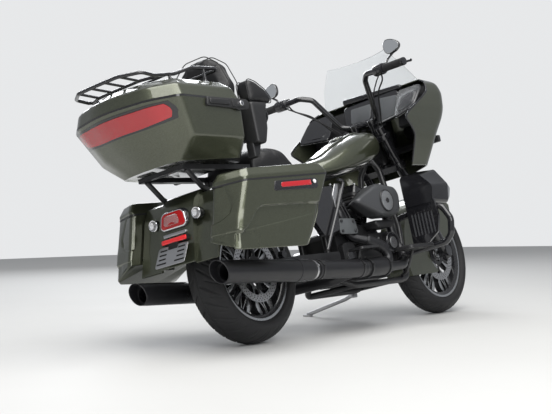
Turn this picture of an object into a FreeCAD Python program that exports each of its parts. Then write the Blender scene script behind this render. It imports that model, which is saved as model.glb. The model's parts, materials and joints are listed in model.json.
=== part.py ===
import FreeCAD, Part
import math
import os

# Touring cruiser motorcycle, standing on its side stand.
# All shapes are drawn on the upright machine: x to the right, y forward,
# z up. The point on the floor under the rear axle is the main origin.
# A piece is drawn from the place that carries it (see PLACES) and is then
# moved there. At the end everything leans to the left and moves by one shift.

V = FreeCAD.Vector

# wheels
WHEELBASE = 1625.0
REAR_RADIUS = 327.0
REAR_CROWN = 100.0
REAR_HALF = 90.0
REAR_BEAD = 236.0
REAR_RIM_HALF = 70.0
FRONT_RADIUS = 325.0
FRONT_CROWN = 76.0
FRONT_HALF = 66.0
FRONT_BEAD = 248.0
FRONT_RIM_HALF = 48.0
SPOKES = 7
ROTOR_R = 150.0
ROTOR_THICK = 5.0

# stance and steering
LEAN = 13.0
RAKE = 26.0
FORK_ANGLE = 29.25
TRAIL = 173.0
STEER_LOCK = 32.0
STEM_R = 20.6
STEM_GAP = 0.4

# fork and bar
FORK_HALF = 113.0
FORK_TUBE_R = 24.5
SLIDER_R = 29.0
CLAMP_LOW_Z = 838.0
CLAMP_TOP_Z = 1004.0
BAR_R = 15.0
GRIP_R = 20.0

# frame and engine
TUBE_R = 16.0
RAIL_HALF = 150.0
RAIL_Z = 196.0
UPRIGHT_X = 76.0
ENGINE_AHEAD = 36.5
CRANK_Z = 330.0
CASE_TOP = 170.0
CASE_HALF = 124.0
V_HALF_ANGLE = 22.5
FIN_COUNT = 8
FIN_PITCH = 12.0
COVER_GAP = 0.3

# belt drive
BELT_X = -117.0
BELT_WIDTH = 22.0
BELT_THICK = 5.0
PULLEY_R = 104.0
SPROCKET_R = 42.0

# exhaust
MUFFLER_X = 246.0
MUFFLER_R = 51.0
MUFFLER_WALL = 2.5
OUTLET_R = 33.0

# body work and luggage
FENDER_GAP = 70.0
FENDER_HALF = 104.0
FENDER_WALL = 4.0
BAG_WALL = 4.0
BAG_INNER_X = 240.0
BAG_SEAM_SLOPE = 0.026
CASE_WALL = 4.0
REAR_OVERHANG = 715.0
SEAM_GAP = 1.0
SCREEN_THICK = 4.0
FAIRING_WALL = 5.0
LAMP_R = 56.7

# side stand, measured from the crank in y
STAND_PIVOT_X = -192.0
STAND_PIVOT_Z = 182.0
STAND_REACH = 541.0
STAND_AXIS = (0.0, 0.155, 0.988)

LEAN_SIN = math.sin(math.radians(LEAN))
LEAN_COS = math.cos(math.radians(LEAN))
REAR_AXLE_Z = (REAR_RADIUS - REAR_CROWN) + REAR_CROWN / LEAN_COS
FRONT_AXLE_Z = (FRONT_RADIUS - FRONT_CROWN) + FRONT_CROWN / LEAN_COS
CRANK_Y = (REAR_RADIUS + WHEELBASE - FRONT_RADIUS) / 2 + ENGINE_AHEAD
PIVOT_Y = CRANK_Y - 310.0
FENDER_TOP_Z = REAR_AXLE_Z + REAR_RADIUS + FENDER_GAP
STEER_TOP_Y = WHEELBASE + TRAIL - CLAMP_TOP_Z * math.tan(math.radians(RAKE))
SHIFT = (218.0, (REAR_OVERHANG - WHEELBASE - FRONT_RADIUS) / 2, 0.0)


# helpers
def box(x0, x1, y0, y1, z0, z1):
    shape = Part.makeBox(x1 - x0, y1 - y0, z1 - z0)
    shape.translate(V(x0, y0, z0))
    return shape


def rod(a, b, r):
    a = V(*a)
    b = V(*b)
    axis = b - a
    return Part.makeCylinder(r, axis.Length, a, axis)


def join(shapes):
    base = shapes[0]
    rest = shapes[1:]
    if not rest:
        return base
    return base.multiFuse(rest).removeSplitter()


def mirror(shape):
    return shape.mirror(V(0, 0, 0), V(1, 0, 0))


def both(shape):
    return [shape, mirror(shape)]


def biggest(shape):
    return max(shape.Solids, key=lambda solid: solid.Volume)


def corner_wire(points, radii):
    """Closed flat wire through the corners, each one rounded by an arc."""
    count = len(points)
    pts = [V(*p) for p in points]
    starts = []
    for i in range(count):
        p = pts[i]
        before = pts[i - 1] - p
        after = pts[(i + 1) % count] - p
        r = radii[i] if isinstance(radii, (list, tuple)) else radii
        angle = before.getAngle(after)
        if r <= 0 or math.pi - angle < 0.01:
            starts.append((p, None, p))
            continue
        cut = r / math.tan(angle / 2.0)
        cut = min(cut, 0.48 * before.Length, 0.48 * after.Length)
        r = cut * math.tan(angle / 2.0)
        u = V(before).normalize()
        w = V(after).normalize()
        reach = r / math.sin(angle / 2.0) - r
        mid = p + (u + w).normalize() * reach
        starts.append((p + u * cut, mid, p + w * cut))
    edges = []
    for i in range(count):
        first, mid, last = starts[i]
        if mid is not None:
            edges.append(Part.Arc(first, mid, last).toShape())
        follow = starts[(i + 1) % count][0]
        if (follow - last).Length > 1e-6:
            edges.append(Part.makeLine(last, follow))
    return Part.Wire(edges)


def plate_yz(points, x0, x1, radii=0):
    wire = corner_wire([(x0, p[0], p[1]) for p in points], radii)
    return Part.Face(wire).extrude(V(x1 - x0, 0, 0))


def plate_xz(points, y0, y1, radii=0):
    wire = corner_wire([(p[0], y0, p[1]) for p in points], radii)
    return Part.Face(wire).extrude(V(0, y1 - y0, 0))


def plate_xy(points, z0, z1, radii=0):
    wire = corner_wire([(p[0], p[1], z0) for p in points], radii)
    return Part.Face(wire).extrude(V(0, 0, z1 - z0))


def loft(wires, ruled=True):
    return Part.makeLoft(wires, True, ruled)


def bent(points, r, bend=40.0):
    """Round bar along the points with a smooth bend at each inner one."""
    pts = [V(*p) for p in points]
    edges = []
    last = pts[0]
    for i in range(1, len(pts) - 1):
        p = pts[i]
        before = pts[i - 1] - p
        after = pts[i + 1] - p
        angle = before.getAngle(after)
        if math.pi - angle < 0.01:
            continue
        cut = bend / math.tan(angle / 2.0)
        cut = min(cut, 0.45 * before.Length, 0.45 * after.Length)
        rad = cut * math.tan(angle / 2.0)
        u = V(before).normalize()
        w = V(after).normalize()
        first = p + u * cut
        end = p + w * cut
        mid = p + (u + w).normalize() * (rad / math.sin(angle / 2.0) - rad)
        if (first - last).Length > 1e-6:
            edges.append(Part.makeLine(last, first))
        edges.append(Part.Arc(first, mid, end).toShape())
        last = end
    edges.append(Part.makeLine(last, pts[-1]))
    path = Part.Wire(edges)
    start = edges[0].valueAt(edges[0].FirstParameter)
    tangent = edges[0].tangentAt(edges[0].FirstParameter)
    circle = Part.Wire(Part.makeCircle(r, start, tangent))
    return path.makePipeShell([circle], True, False)


def ring_solid(profile, z):
    """Turn a closed profile of (x, radius) points about an axle at height z."""
    pts = [V(p[0], 0, z + p[1]) for p in profile]
    wire = Part.makePolygon(pts + [pts[0]])
    return Part.Face(wire).revolve(V(0, 0, z), V(1, 0, 0), 360)


def turned(shape, z, degrees):
    copy = shape.copy()
    copy.rotate(V(0, 0, z), V(1, 0, 0), degrees)
    return copy


def steer_y(z):
    """Steering axis, measured in y from the front axle."""
    return TRAIL - z * math.tan(math.radians(RAKE))


def steer_point(z, ahead):
    """Point on the steering axis, a distance above the one at height z."""
    lean_back = math.radians(RAKE)
    return V(0, steer_y(z) - ahead * math.sin(lean_back), z + ahead * math.cos(lean_back))


def steer_axis():
    return V(0, -math.sin(math.radians(RAKE)), math.cos(math.radians(RAKE)))


def fork_y(z):
    """Fork leg, measured in y from the front axle."""
    return (FRONT_AXLE_Z - z) * math.tan(math.radians(FORK_ANGLE))


# wheels
def tyre(z, radius, crown, half, bead, rim_half):
    def tread(x):
        return radius - crown + math.sqrt(crown * crown - x * x)

    edge = half - 3.0
    wall_top = tread(edge)
    wall_mid = bead + 0.45 * (wall_top - bead)
    lip = rim_half - 8.0
    out = [
        Part.Arc(V(edge, 0, z + wall_top), V(0, 0, z + radius),
                 V(-edge, 0, z + wall_top)).toShape(),
        Part.Arc(V(-edge, 0, z + wall_top), V(-half, 0, z + wall_mid),
                 V(-rim_half, 0, z + bead)).toShape(),
        Part.makeLine(V(-rim_half, 0, z + bead), V(-lip, 0, z + bead)),
        Part.Arc(V(-lip, 0, z + bead), V(0, 0, z + radius - 22),
                 V(lip, 0, z + bead)).toShape(),
        Part.makeLine(V(lip, 0, z + bead), V(rim_half, 0, z + bead)),
        Part.Arc(V(rim_half, 0, z + bead), V(half, 0, z + wall_mid),
                 V(edge, 0, z + wall_top)).toShape(),
    ]
    face = Part.Face(Part.Wire(out))
    return face.revolve(V(0, 0, z), V(1, 0, 0), 360)


def spoke(drop):
    """One forked spoke: a stem from the hub and two arms that reach the rim."""
    reach = drop - 4.0
    stem = 0.46 * reach
    arm = plate_yz([(-17, 40), (17, 40), (12, stem), (-12, stem)], -15, 15)
    fork = plate_yz([(-12, stem - 14), (8, stem - 14), (40, 0.8 * reach),
                     (56, reach - 4), (38, reach), (22, 0.82 * reach)], -13, 13)
    other = plate_yz([(12, stem - 14), (-8, stem - 14), (-40, 0.8 * reach),
                      (-56, reach - 4), (-38, reach), (-22, 0.82 * reach)], -13, 13)
    return join([arm, fork, other])


def rim(z, bead, rim_half, hub_half):
    gap = 0.3
    drop = bead - 26.0
    profile = [
        (-rim_half, bead - gap), (-rim_half, bead - 16), (-rim_half + 12, drop - 6),
        (rim_half - 12, drop - 6), (rim_half, bead - 16), (rim_half, bead - gap),
        (rim_half - 8, bead - gap), (rim_half - 18, drop), (-rim_half + 18, drop),
        (-rim_half + 8, bead - gap),
    ]
    parts = [ring_solid(profile, z)]
    parts.append(Part.makeCylinder(46, 2 * hub_half, V(-hub_half, 0, z), V(1, 0, 0)))
    for i in range(SPOKES):
        one = spoke(drop)
        one.translate(V(0, 0, z))
        parts.append(turned(one, z, 360.0 * i / SPOKES))
    bore = Part.makeCylinder(13, 4 * hub_half, V(-2 * hub_half, 0, z), V(1, 0, 0))
    return join(parts).cut(bore)


def rotor(z, x0):
    x1 = x0 + ROTOR_THICK
    band = ring_solid([(x0, ROTOR_R), (x1, ROTOR_R), (x1, ROTOR_R - 34),
                       (x0, ROTOR_R - 34)], z)
    hub = ring_solid([(x0, 62), (x1, 62), (x1, 46.3), (x0, 46.3)], z)
    parts = [band, hub]
    for i in range(6):
        arm = plate_yz([(-9, 58), (9, 58), (9, ROTOR_R - 30), (-9, ROTOR_R - 30)], x0, x1)
        arm.translate(V(0, 0, z))
        parts.append(turned(arm, z, 60.0 * i))
    return join(parts)


def rear_tyre():
    return tyre(REAR_AXLE_Z, REAR_RADIUS, REAR_CROWN, REAR_HALF, REAR_BEAD, REAR_RIM_HALF)


def rear_rim():
    z = REAR_AXLE_Z
    edge = BELT_X + 1.0
    inner = BELT_X + BELT_WIDTH
    body = rim(z, REAR_BEAD, REAR_RIM_HALF, 88)
    disc = rotor(z, 76)
    pulley = ring_solid([(edge, PULLEY_R - 0.3), (inner + 5, PULLEY_R - 0.3),
                         (inner + 5, 46.3), (inner, 46.3), (inner, PULLEY_R - 10),
                         (edge, PULLEY_R - 10)], z)
    return Part.makeCompound([body, disc.cut(body), pulley.cut(body)])


def front_tyre():
    return tyre(FRONT_AXLE_Z, FRONT_RADIUS, FRONT_CROWN, FRONT_HALF, FRONT_BEAD,
                FRONT_RIM_HALF)


def front_rim():
    body = rim(FRONT_AXLE_Z, FRONT_BEAD, FRONT_RIM_HALF, 66)
    disc = rotor(FRONT_AXLE_Z, 54).cut(body)
    return Part.makeCompound([body] + both(disc))


# front end
def fork_tubes():
    parts = []
    for x in (-FORK_HALF, FORK_HALF):
        top_z = CLAMP_TOP_Z + 26
        parts.append(rod((x, fork_y(600), 600), (x, fork_y(top_z), top_z), FORK_TUBE_R))
    for z, thick in ((CLAMP_LOW_Z, 34.0), (CLAMP_TOP_Z, 26.0)):
        ends = FORK_HALF + FORK_TUBE_R + 8
        yo = fork_y(z)
        ys = steer_y(z)
        plan = [(-ends, yo - 33), (ends, yo - 33), (ends, yo + 33), (40, ys + 32),
                (-40, ys + 32), (-ends, yo + 33)]
        clamp = plate_xy(plan, z - thick / 2, z + thick / 2, [30, 30, 26, 16, 16, 26])
        clamp.rotate(V(0, ys, z), V(1, 0, 0), RAKE)
        parts.append(clamp)
    span = (CLAMP_TOP_Z - CLAMP_LOW_Z) / math.cos(math.radians(RAKE))
    parts.append(Part.makeCylinder(STEM_R, span + 40, steer_point(CLAMP_LOW_Z, -22),
                                   steer_axis()))
    return join(parts)


def fork_leg(x):
    low = (x, fork_y(FRONT_AXLE_Z - 32), FRONT_AXLE_Z - 32)
    leg = rod(low, (x, fork_y(640), 640), SLIDER_R)
    core = rod((x, fork_y(600), 600), (x, fork_y(700), 700), FORK_TUBE_R + 0.3)
    lug = Part.makeCylinder(30, 2 * SLIDER_R, V(x - SLIDER_R, 0, FRONT_AXLE_Z), V(1, 0, 0))
    top_z = CLAMP_LOW_Z - 132
    shroud = rod((x, fork_y(650), 650), (x, fork_y(top_z), top_z), SLIDER_R + 4)
    hollow = rod((x, fork_y(640), 640), (x, fork_y(900), 900), FORK_TUBE_R + 0.3)
    return [join([leg, lug]).cut(core), shroud.cut(hollow)]


def caliper():
    side = [(-175, 20), (-105, 10), (-95, 95), (-150, 115)]
    outer = plate_yz(side, 64, 84, 12)
    inner = plate_yz(side, 41, 49, 12)
    bridge = plate_yz([(-181, 20), (-158, 20), (-140, 112), (-160, 116)], 41, 84, 4)
    ear = box(66, FORK_HALF - 13, -104, -40, 44, 72)
    body = join([outer, inner, bridge, ear])
    body.translate(V(0, 0, FRONT_AXLE_Z))
    return body


def fork_sliders():
    legs = fork_leg(FORK_HALF) + fork_leg(-FORK_HALF)
    reach = FORK_HALF - SLIDER_R + 2
    axle = Part.makeCylinder(12.5, 2 * reach, V(-reach, 0, FRONT_AXLE_Z), V(1, 0, 0))
    return join(legs + [axle] + both(caliper()))


def front_fender():
    z = FRONT_AXLE_Z
    inner = FRONT_RADIUS + 12
    outer = inner + 3.5
    half = FRONT_HALF + 14
    skin = ring_solid([(-half, outer), (half, outer), (half, 110), (-half, 110)], z)
    void = ring_solid([(-half + 3.5, inner), (half - 3.5, inner), (half - 3.5, 100),
                       (-half + 3.5, 100)], z)
    tip = outer + 30
    keep = plate_yz([(-tip, -112), (-64, -108), (40, -24), (118, 74), (176, 112),
                     (204, 180), (214, tip), (-tip, tip)],
                    -half - 5, half + 5)
    keep.translate(V(0, 0, z))
    parts = [skin.cut(void).common(keep)]
    high = z + 233
    pad = box(half - 4, FORK_HALF - 12, fork_y(high) - 22, fork_y(high) + 22,
              high - 20, high + 20)
    return join(parts + both(pad))


def bar_side():
    """Right half of the bar, from the middle of its clamp to the grip."""
    return bent([(-5, -56, 74), (78, -56, 74), (118, -82, 86), (190, -218, 258),
                 (240, -268, 277), (322, -298, 266), (500, -323, 258)], BAR_R, 50)


def handlebar():
    parts = both(bar_side())
    for x in (-55, 55):
        parts.append(rod((x, -24, -8), (x, -58, 78), 19))
    return join(parts)


def hand_control():
    grip = rod((366, -305, 264), (502, -324, 258), GRIP_R)
    house = rod((300, -292, 267), (366, -305, 264), GRIP_R + 10)
    lever = bent([(330, -264, 276), (360, -233, 280), (500, -246, 272)], 7, 30)
    post = rod((330, -290, 274), (330, -258, 277), 12)
    return join([grip, house, lever, post])


def mirror_head():
    stem = bent([(322, -274, 296), (322, -262, 326), (405, -258, 358)], 6, 20)
    base = rod((322, -290, 286), (322, -268, 308), 9)
    head = plate_xz([(352, 348), (392, 334), (455, 352), (462, 392), (425, 408),
                     (365, 398)], -274, -252, 22)
    return join([stem, base, head])


def hand_controls():
    return Part.makeCompound(both(join([hand_control(), mirror_head()])))


# frame
def head_tube():
    span = (CLAMP_TOP_Z - CLAMP_LOW_Z) / math.cos(math.radians(RAKE))
    low = steer_point(CLAMP_LOW_Z, 22)
    return Part.makeCylinder(34, span - 40, low, steer_axis())


def stand_bracket():
    x = STAND_PIVOT_X
    axis = V(*STAND_AXIS)
    top = V(x, CRANK_Y + 260, STAND_PIVOT_Z - 15) + axis * 30.3
    plate = Part.makeCylinder(20, 8, top, axis)
    web = box(x, -RAIL_HALF + 2, CRANK_Y + 242, CRANK_Y + 278, top.z + 4, top.z + 14)
    return [plate, web]


def frame():
    mid = CRANK_Y
    head = WHEELBASE
    top = FENDER_TOP_Z
    side = bent([(22, head - 389, CLAMP_LOW_Z + 24), (62, head - 403, CLAMP_LOW_Z - 38),
                 (118, head - 423, 480), (RAIL_HALF, mid + 280, RAIL_Z + 9),
                 (RAIL_HALF, mid + 210, RAIL_Z), (RAIL_HALF, mid - 200, RAIL_Z),
                 (UPRIGHT_X, mid - 266, RAIL_Z + 54), (UPRIGHT_X, mid - 266, top - 166),
                 (126, mid - 260, top - 36)], TUBE_R, 60)
    rail = bent([(40, mid - 210, top + 34), (126, mid - 260, top - 26),
                 (128, 120, top - 20), (128, -260, top - 86)], TUBE_R - 2, 40)
    lug = box(UPRIGHT_X - 14, UPRIGHT_X + 14, PIVOT_Y + 16, PIVOT_Y + 50,
              REAR_AXLE_Z - 8, REAR_AXLE_Z + 40)
    parts = both(side) + both(rail) + both(lug)
    parts.append(bent([(0, head - 273, 905), (0, head - 425, 868),
                       (0, mid - 220, top + 26)], 26, 60))
    parts.append(rod((-60, mid - 218, top + 26), (60, mid - 218, top + 26), TUBE_R))
    parts.append(box(-24, 24, head - 435, head - 295, 850, 880))
    for y, z, half, r in ((mid + 275, RAIL_Z + 9, RAIL_HALF, 14),
                          (mid - 195, RAIL_Z, RAIL_HALF, 14),
                          (-40, top - 40, 128, 11)):
        parts.append(rod((-half, y, z), (half, y, z), r))
    parts += stand_bracket()
    tube = head_tube()
    tube.translate(V(0, WHEELBASE, 0))
    bore = Part.makeCylinder(STEM_R + STEM_GAP, 600, steer_point(CLAMP_LOW_Z, -200),
                             steer_axis())
    bore.translate(V(0, WHEELBASE, 0))
    return join(parts + [tube]).cut(bore)


def swingarm():
    z = REAR_AXLE_Z
    arm = plate_yz([(-42, z - 24), (-42, z + 24), (120, z + 34), (PIVOT_Y + 28, z + 40),
                    (PIVOT_Y + 28, z - 8), (120, z - 30)], 134, 160, 14)
    pivot = Part.makeCylinder(24, 272, V(-136, PIVOT_Y, z + 16), V(1, 0, 0))
    brace = box(-136, 136, REAR_RADIUS + 45, REAR_RADIUS + 83, z + 2, z + 34)
    axle = Part.makeCylinder(12.5, 276, V(-138, 0, z), V(1, 0, 0))
    return join(both(arm) + [pivot, brace, axle])


def rear_shocks():
    z = REAR_AXLE_Z + 46
    top = FENDER_TOP_Z - 40
    low = (174, 96, z)
    high = (174, 268, top)
    mid = (174, 96 + 0.31 * 172, z + 0.31 * (top - z))
    stem = rod(low, high, 12)
    body = rod(mid, high, 25)
    eye = Part.makeCylinder(17, 26, V(161, 96, z), V(1, 0, 0))
    stub = Part.makeCylinder(15, 44, V(131, 268, top + 5), V(1, 0, 0))
    return Part.makeCompound(both(join([stem, body, eye, stub])))


# engine, drawn from the crank
def crankcase():
    case = plate_yz([(-134, -108), (160, -108), (214, -40), (208, 70), (150, 110),
                     (105, CASE_TOP), (-105, CASE_TOP), (-134, 110)],
                    -CASE_HALF, CASE_HALF, 18)
    gearbox = plate_yz([(-246, -100), (-134, -108), (-134, 106), (-158, 110),
                        (-172, 150), (-225, 150), (-246, 120)], -88, CASE_HALF, 10)
    sprocket = Part.makeCylinder(SPROCKET_R - 0.3, BELT_WIDTH + 10,
                                 V(BELT_X, -210, REAR_AXLE_Z - CRANK_Z), V(1, 0, 0))
    return join([case, gearbox, sprocket])


def cylinder_axis(side):
    a = math.radians(V_HALF_ANGLE) * side
    return V(0, math.sin(a), math.cos(a))


def upright_block(length, width, height, corner):
    block = Part.makeBox(length, width, height)
    block.translate(V(-length / 2, -width / 2, 0))
    upright = [e for e in block.Edges if abs(e.BoundBox.ZLength - height) < 0.1]
    return block.makeFillet(corner, upright)


def cylinders():
    out = []
    base = 150.0
    head_at = 270.0
    for side in (-1, 1):
        axis = cylinder_axis(side)
        parts = [Part.makeCylinder(60, head_at - base, axis * base, axis)]
        for i in range(FIN_COUNT):
            parts.append(Part.makeCylinder(80, 4.5, axis * (172 + i * FIN_PITCH), axis))
        head = upright_block(172, 160, 84, 26)
        for i in range(4):
            core = upright_block(148, 136, 6, 16)
            groove = box(-90, 90, -84, 84, 0, 6).cut(core)
            groove.translate(V(0, 0, 10 + i * 16))
            head = head.cut(groove)
        head.rotate(V(0, 0, 0), V(1, 0, 0), -V_HALF_ANGLE * side)
        head.translate(axis * head_at)
        body = join(parts + [head])
        if side > 0:
            half = box(-200, 200, 1.5, 600, CASE_TOP, 700)
        else:
            half = box(-200, 200, -600, -1.5, CASE_TOP, 700)
        out.append(body.common(half))
    return Part.makeCompound(out)


def rocker_boxes():
    out = []
    for side in (-1, 1):
        low = upright_block(166, 152, 22, 24)
        top = upright_block(150, 132, 34, 26)
        top = top.makeFillet(10, [e for e in top.Edges if e.BoundBox.ZMin > 33.9])
        top.translate(V(0, 0, 20))
        body = join([low, top])
        body.rotate(V(0, 0, 0), V(1, 0, 0), -V_HALF_ANGLE * side)
        body.translate(cylinder_axis(side) * 354)
        out.append(body)
        for off in (0, 28):
            foot = (104, side * (8 + off), 118)
            out.append(rod(foot, (104, side * (104 + off), 312), 9))
    return Part.makeCompound(out)


def cam_cover():
    x0 = CASE_HALF + COVER_GAP
    base = plate_yz([(-106, -90), (150, -94), (214, -20), (220, 66), (180, 124),
                     (-60, 112), (-106, 70)], x0, 158, 24)
    cup = Part.makeCylinder(54, 28, V(158, 156, 58), V(1, 0, 0))
    cap = Part.makeCylinder(33, 8, V(186, 156, 58), V(1, 0, 0))
    ribs = [box(158, 163, -84, 84, z, z + 6) for z in (-64, -44, -24, -4)]
    return join([base, cup, cap] + ribs)


def gearbox_cover():
    x0 = CASE_HALF + COVER_GAP
    plate = plate_yz([(-280, 120), (-140, 116), (-128, 130), (-140, 194), (-274, 198)],
                     178, 186, 12)
    post = box(x0, 180, -238, -208, 122, 136)
    side = plate_yz([(-240, -80), (-136, -80), (-136, 80), (-240, 80)], x0, 154, 26)
    lid = Part.makeCylinder(38, 6, V(154, -188, 0), V(1, 0, 0))
    return [join([plate, post]), join([side, lid])]


def engine_covers():
    return Part.makeCompound([cam_cover()] + gearbox_cover())


def primary_cover():
    x1 = -CASE_HALF - COVER_GAP
    cover = plate_yz([(-244, -100), (-244, 104), (156, 92), (156, -96)], -190, x1,
                     [98, 98, 90, 90])
    disc = Part.makeCylinder(80, 10, V(-200, -140, 0), V(1, 0, 0))
    small = Part.makeCylinder(42, 8, V(-198, 62, 0), V(1, 0, 0))
    return join([cover, disc, small])


def teardrop(x, grow, tip):
    """Outline of the air cleaner, pointed to the rear."""
    return corner_wire([(x, tip, 268), (x, 34, 360 + grow), (x, 214 + grow, 330),
                        (x, 200 + grow, 196 - grow), (x, 20, 190 - grow)],
                       [12, 130, 52, 50, 120])


def air_cleaner():
    body = loft([teardrop(150, 4, -104), teardrop(236, 4, -196), teardrop(258, -14, -178)])
    disc = Part.makeCylinder(56, 12, V(256, 72, 264), V(1, 0, 0))
    neck = Part.makeCylinder(30, 92, V(60, 0, 236), V(1, 0, 0))
    stays = [rod((86.3, 70, 320), (152, 70, 320), 9), rod((86.3, -60, 290), (152, -60, 290), 9)]
    return join([body, disc, neck] + stays)


# exhaust
def headers():
    x = MUFFLER_X
    mid = CRANK_Y
    rear = bent([(86.3, mid - 182, 626), (142, mid - 196, 560), (146, mid - 150, 440),
                 (200, mid - 84, 404), (236, mid - 14, 360), (x, mid + 8, 304),
                 (x, mid - 44, 262)], 25, 50)
    front = bent([(86.3, mid + 196, 640), (116, mid + 240, 600), (140, mid + 250, 430),
                  (196, mid + 216, 300), (x, mid + 120, 262), (x, mid - 44, 258)], 24, 70)
    trunk = Part.makeCylinder(44, 180, V(x, mid - 216, 264), V(0, 1, 0))
    tail = rod((x, 199.3, 281), (x, mid - 216, 264), 40)
    cross = bent([(x, mid - 290, 258), (120, mid - 350, 232), (-120, mid - 380, 232),
                  (-x, mid - 470, 268), (-x, 199.3, 281)], 26, 60)
    ports = [Part.makeCylinder(31, 10, V(86.3, mid - 182, 626), V(1, 0, 0)),
             Part.makeCylinder(31, 10, V(86.3, mid + 196, 640), V(1, 0, 0))]
    return join([trunk, rear, front, tail, cross] + ports)


def muffler():
    front = V(0, 199, 281)
    back = V(0, -447, 313)
    axis = (back - front).normalize()
    length = (back - front).Length
    outer = Part.makeCylinder(MUFFLER_R, length + 30, front, axis)
    inner = Part.makeCylinder(MUFFLER_R - MUFFLER_WALL, length + 30, front + axis * 4,
                              axis)
    slant = box(-200, 200, -400, 0, -200, 200)
    slant.rotate(V(0, 0, 0), V(1, 0, 0), 20)
    slant.translate(back)
    tube = outer.cut(inner).cut(slant)
    core = Part.makeCylinder(OUTLET_R + 3, 150, back - axis * 190, axis)
    web = Part.makeCylinder(MUFFLER_R - 1, 5, back - axis * 120, axis)
    hole = Part.makeCylinder(OUTLET_R, 300, back - axis * 180, axis)
    body = join([tube, core, web]).cut(hole)
    body.translate(V(MUFFLER_X, 0, 0))
    return body


def mufflers():
    return Part.makeCompound(both(muffler()))


# tank and seat
def tank_section(y, half, low, top):
    mid = low + 0.36 * (top - low)
    foot = 0.78 * half
    edge = 0.76 * half
    brow = mid + 0.72 * (top - mid)
    edges = [
        Part.makeLine(V(-foot, y, low), V(foot, y, low)),
        Part.makeLine(V(foot, y, low), V(half, y, mid)),
        Part.Arc(V(half, y, mid), V(edge, y, brow), V(0, y, top)).toShape(),
        Part.Arc(V(0, y, top), V(-edge, y, brow), V(-half, y, mid)).toShape(),
        Part.makeLine(V(-half, y, mid), V(-foot, y, low)),
    ]
    return Part.Wire(edges)


TANK_SECTIONS = (
    # share of the way forward, half width, bottom z, top z
    (0.0, 88.0, 770.0, 848.0),
    (0.237, 132.0, 774.0, 886.0),
    (0.504, 160.0, 788.0, 956.0),
    (0.771, 166.0, 814.0, 1016.0),
    (0.924, 160.0, 842.0, 1036.0),
    (1.0, 132.0, 872.0, 1004.0),
)


def tank_y(share):
    rear = CRANK_Y - 214
    front = WHEELBASE - 467
    return rear + share * (front - rear)


def fuel_tank():
    wires = [tank_section(tank_y(row[0]), row[1], row[2], row[3]) for row in TANK_SECTIONS]
    body = loft(wires, False)
    strip = plate_yz([(tank_y(0.2), 850), (tank_y(0.2), 884), (tank_y(0.5), 962),
                      (tank_y(0.77), 1022), (tank_y(0.9), 1030), (tank_y(0.9), 900)],
                     -38, 38, 8)
    cap = Part.makeCylinder(34, 60, V(0, tank_y(0.66), 950), V(0, -0.35, 0.94))
    whole = join([body, strip, cap])
    for drop in (0, 30):
        tunnel = bent([(0, WHEELBASE - 265, 905 - drop), (0, WHEELBASE - 425, 868 - drop),
                       (0, CRANK_Y - 250, FENDER_TOP_Z + 20 - drop)], 34, 60)
        whole = whole.cut(tunnel)
    return biggest(whole)


SEAT_PROFILE = (
    # share of the way forward, height over the fender top, corner radius
    (0.0, -5.6, 8), (0.0, 146.0, 20), (0.061, 172.0, 40), (0.237, 174.0, 60),
    (0.397, 146.0, 60), (0.481, 76.0, 50), (0.606, 38.0, 60), (0.782, 30.0, 60),
    (0.907, 66.0, 30), (0.972, 100.0, 6), (1.022, 112.0, 0), (0.933, 38.0, 10),
    (0.878, -1.0, 0), (0.814, -5.6, 0),
)
SEAT_PLAN = (
    # share of the way forward, half width
    (-0.02, 150.0), (0.173, 190.0), (0.397, 186.0), (0.59, 196.0), (0.83, 120.0),
    (1.04, 70.0),
)


def seat_y(share):
    rear = 52.0
    nose = CRANK_Y - 174
    return rear + share * (nose - rear)


def seat():
    side = [(seat_y(row[0]), row[1]) for row in SEAT_PROFILE]
    body = plate_yz(side, -190, 190, [row[2] for row in SEAT_PROFILE])
    right = [(half, seat_y(share)) for share, half in SEAT_PLAN]
    left = [(-half, seat_y(share)) for share, half in reversed(SEAT_PLAN)]
    plan = plate_xy(right + left, -40, 200, 20)
    tank_end = box(-200, 200, tank_y(0) - COVER_GAP, 900, -60, 300)
    return body.common(plan).cut(tank_end)


def side_cover():
    panel = plate_yz([(-478, -206), (-470, -58), (-290, -36), (-262, -66), (-290, -256),
                      (-420, -286)], 166, 196, 24)
    tab = box(128, 180, -420, -350, -50, -38)
    post = box(UPRIGHT_X + 4, 174, -290, -268, -250, -222)
    return join([panel, tab, post])


def side_covers():
    return Part.makeCompound(both(side_cover()))


# rear fender, drawn from its own top over the axle
FENDER_LINE = ((262, -26), (180, -10), (-120, 0), (-296, -18), (-350, -62), (-382, -146),
               (-420, -338))


def fender_side(inset):
    line = [(y + (inset if z < -40 else 0), z - (inset if z > -80 else 0))
            for y, z in FENDER_LINE]
    low = (-120, -338 - 2 * inset)
    front = (262 + 2 * inset, -166)
    return line[:-1] + [(-420 + inset, low[1]), low, front]


def rear_fender():
    radii = [4, 60, 80, 60, 40, 60, 4, 4, 4]
    solid = plate_yz(fender_side(0), -FENDER_HALF, FENDER_HALF, radii)
    inner = FENDER_HALF - FENDER_WALL
    hollow = plate_yz(fender_side(FENDER_WALL), -inner, inner, radii)
    wheel = Part.makeCylinder(REAR_RADIUS + 14, 400,
                              V(-200, 0, REAR_AXLE_Z - FENDER_TOP_Z), V(1, 0, 0))
    shell = biggest(solid.cut(hollow).cut(wheel))
    x0 = FENDER_HALF + COVER_GAP
    filler = plate_yz([(-262, -26), (-300, -40), (-330, -90), (-351, -157), (-415, -345),
                       (-405, -348), (-341, -160), (-320, -96), (-292, -52),
                       (-262, -40)], x0, BAG_INNER_X - 8, 2)
    solids = [shell] + both(filler)
    for y, z in ((-232, -70), (150, -56)):
        solids += both(rod((x0, y, z), (BAG_INNER_X - COVER_GAP, y, z), 9))
    return Part.makeCompound(solids)


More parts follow.
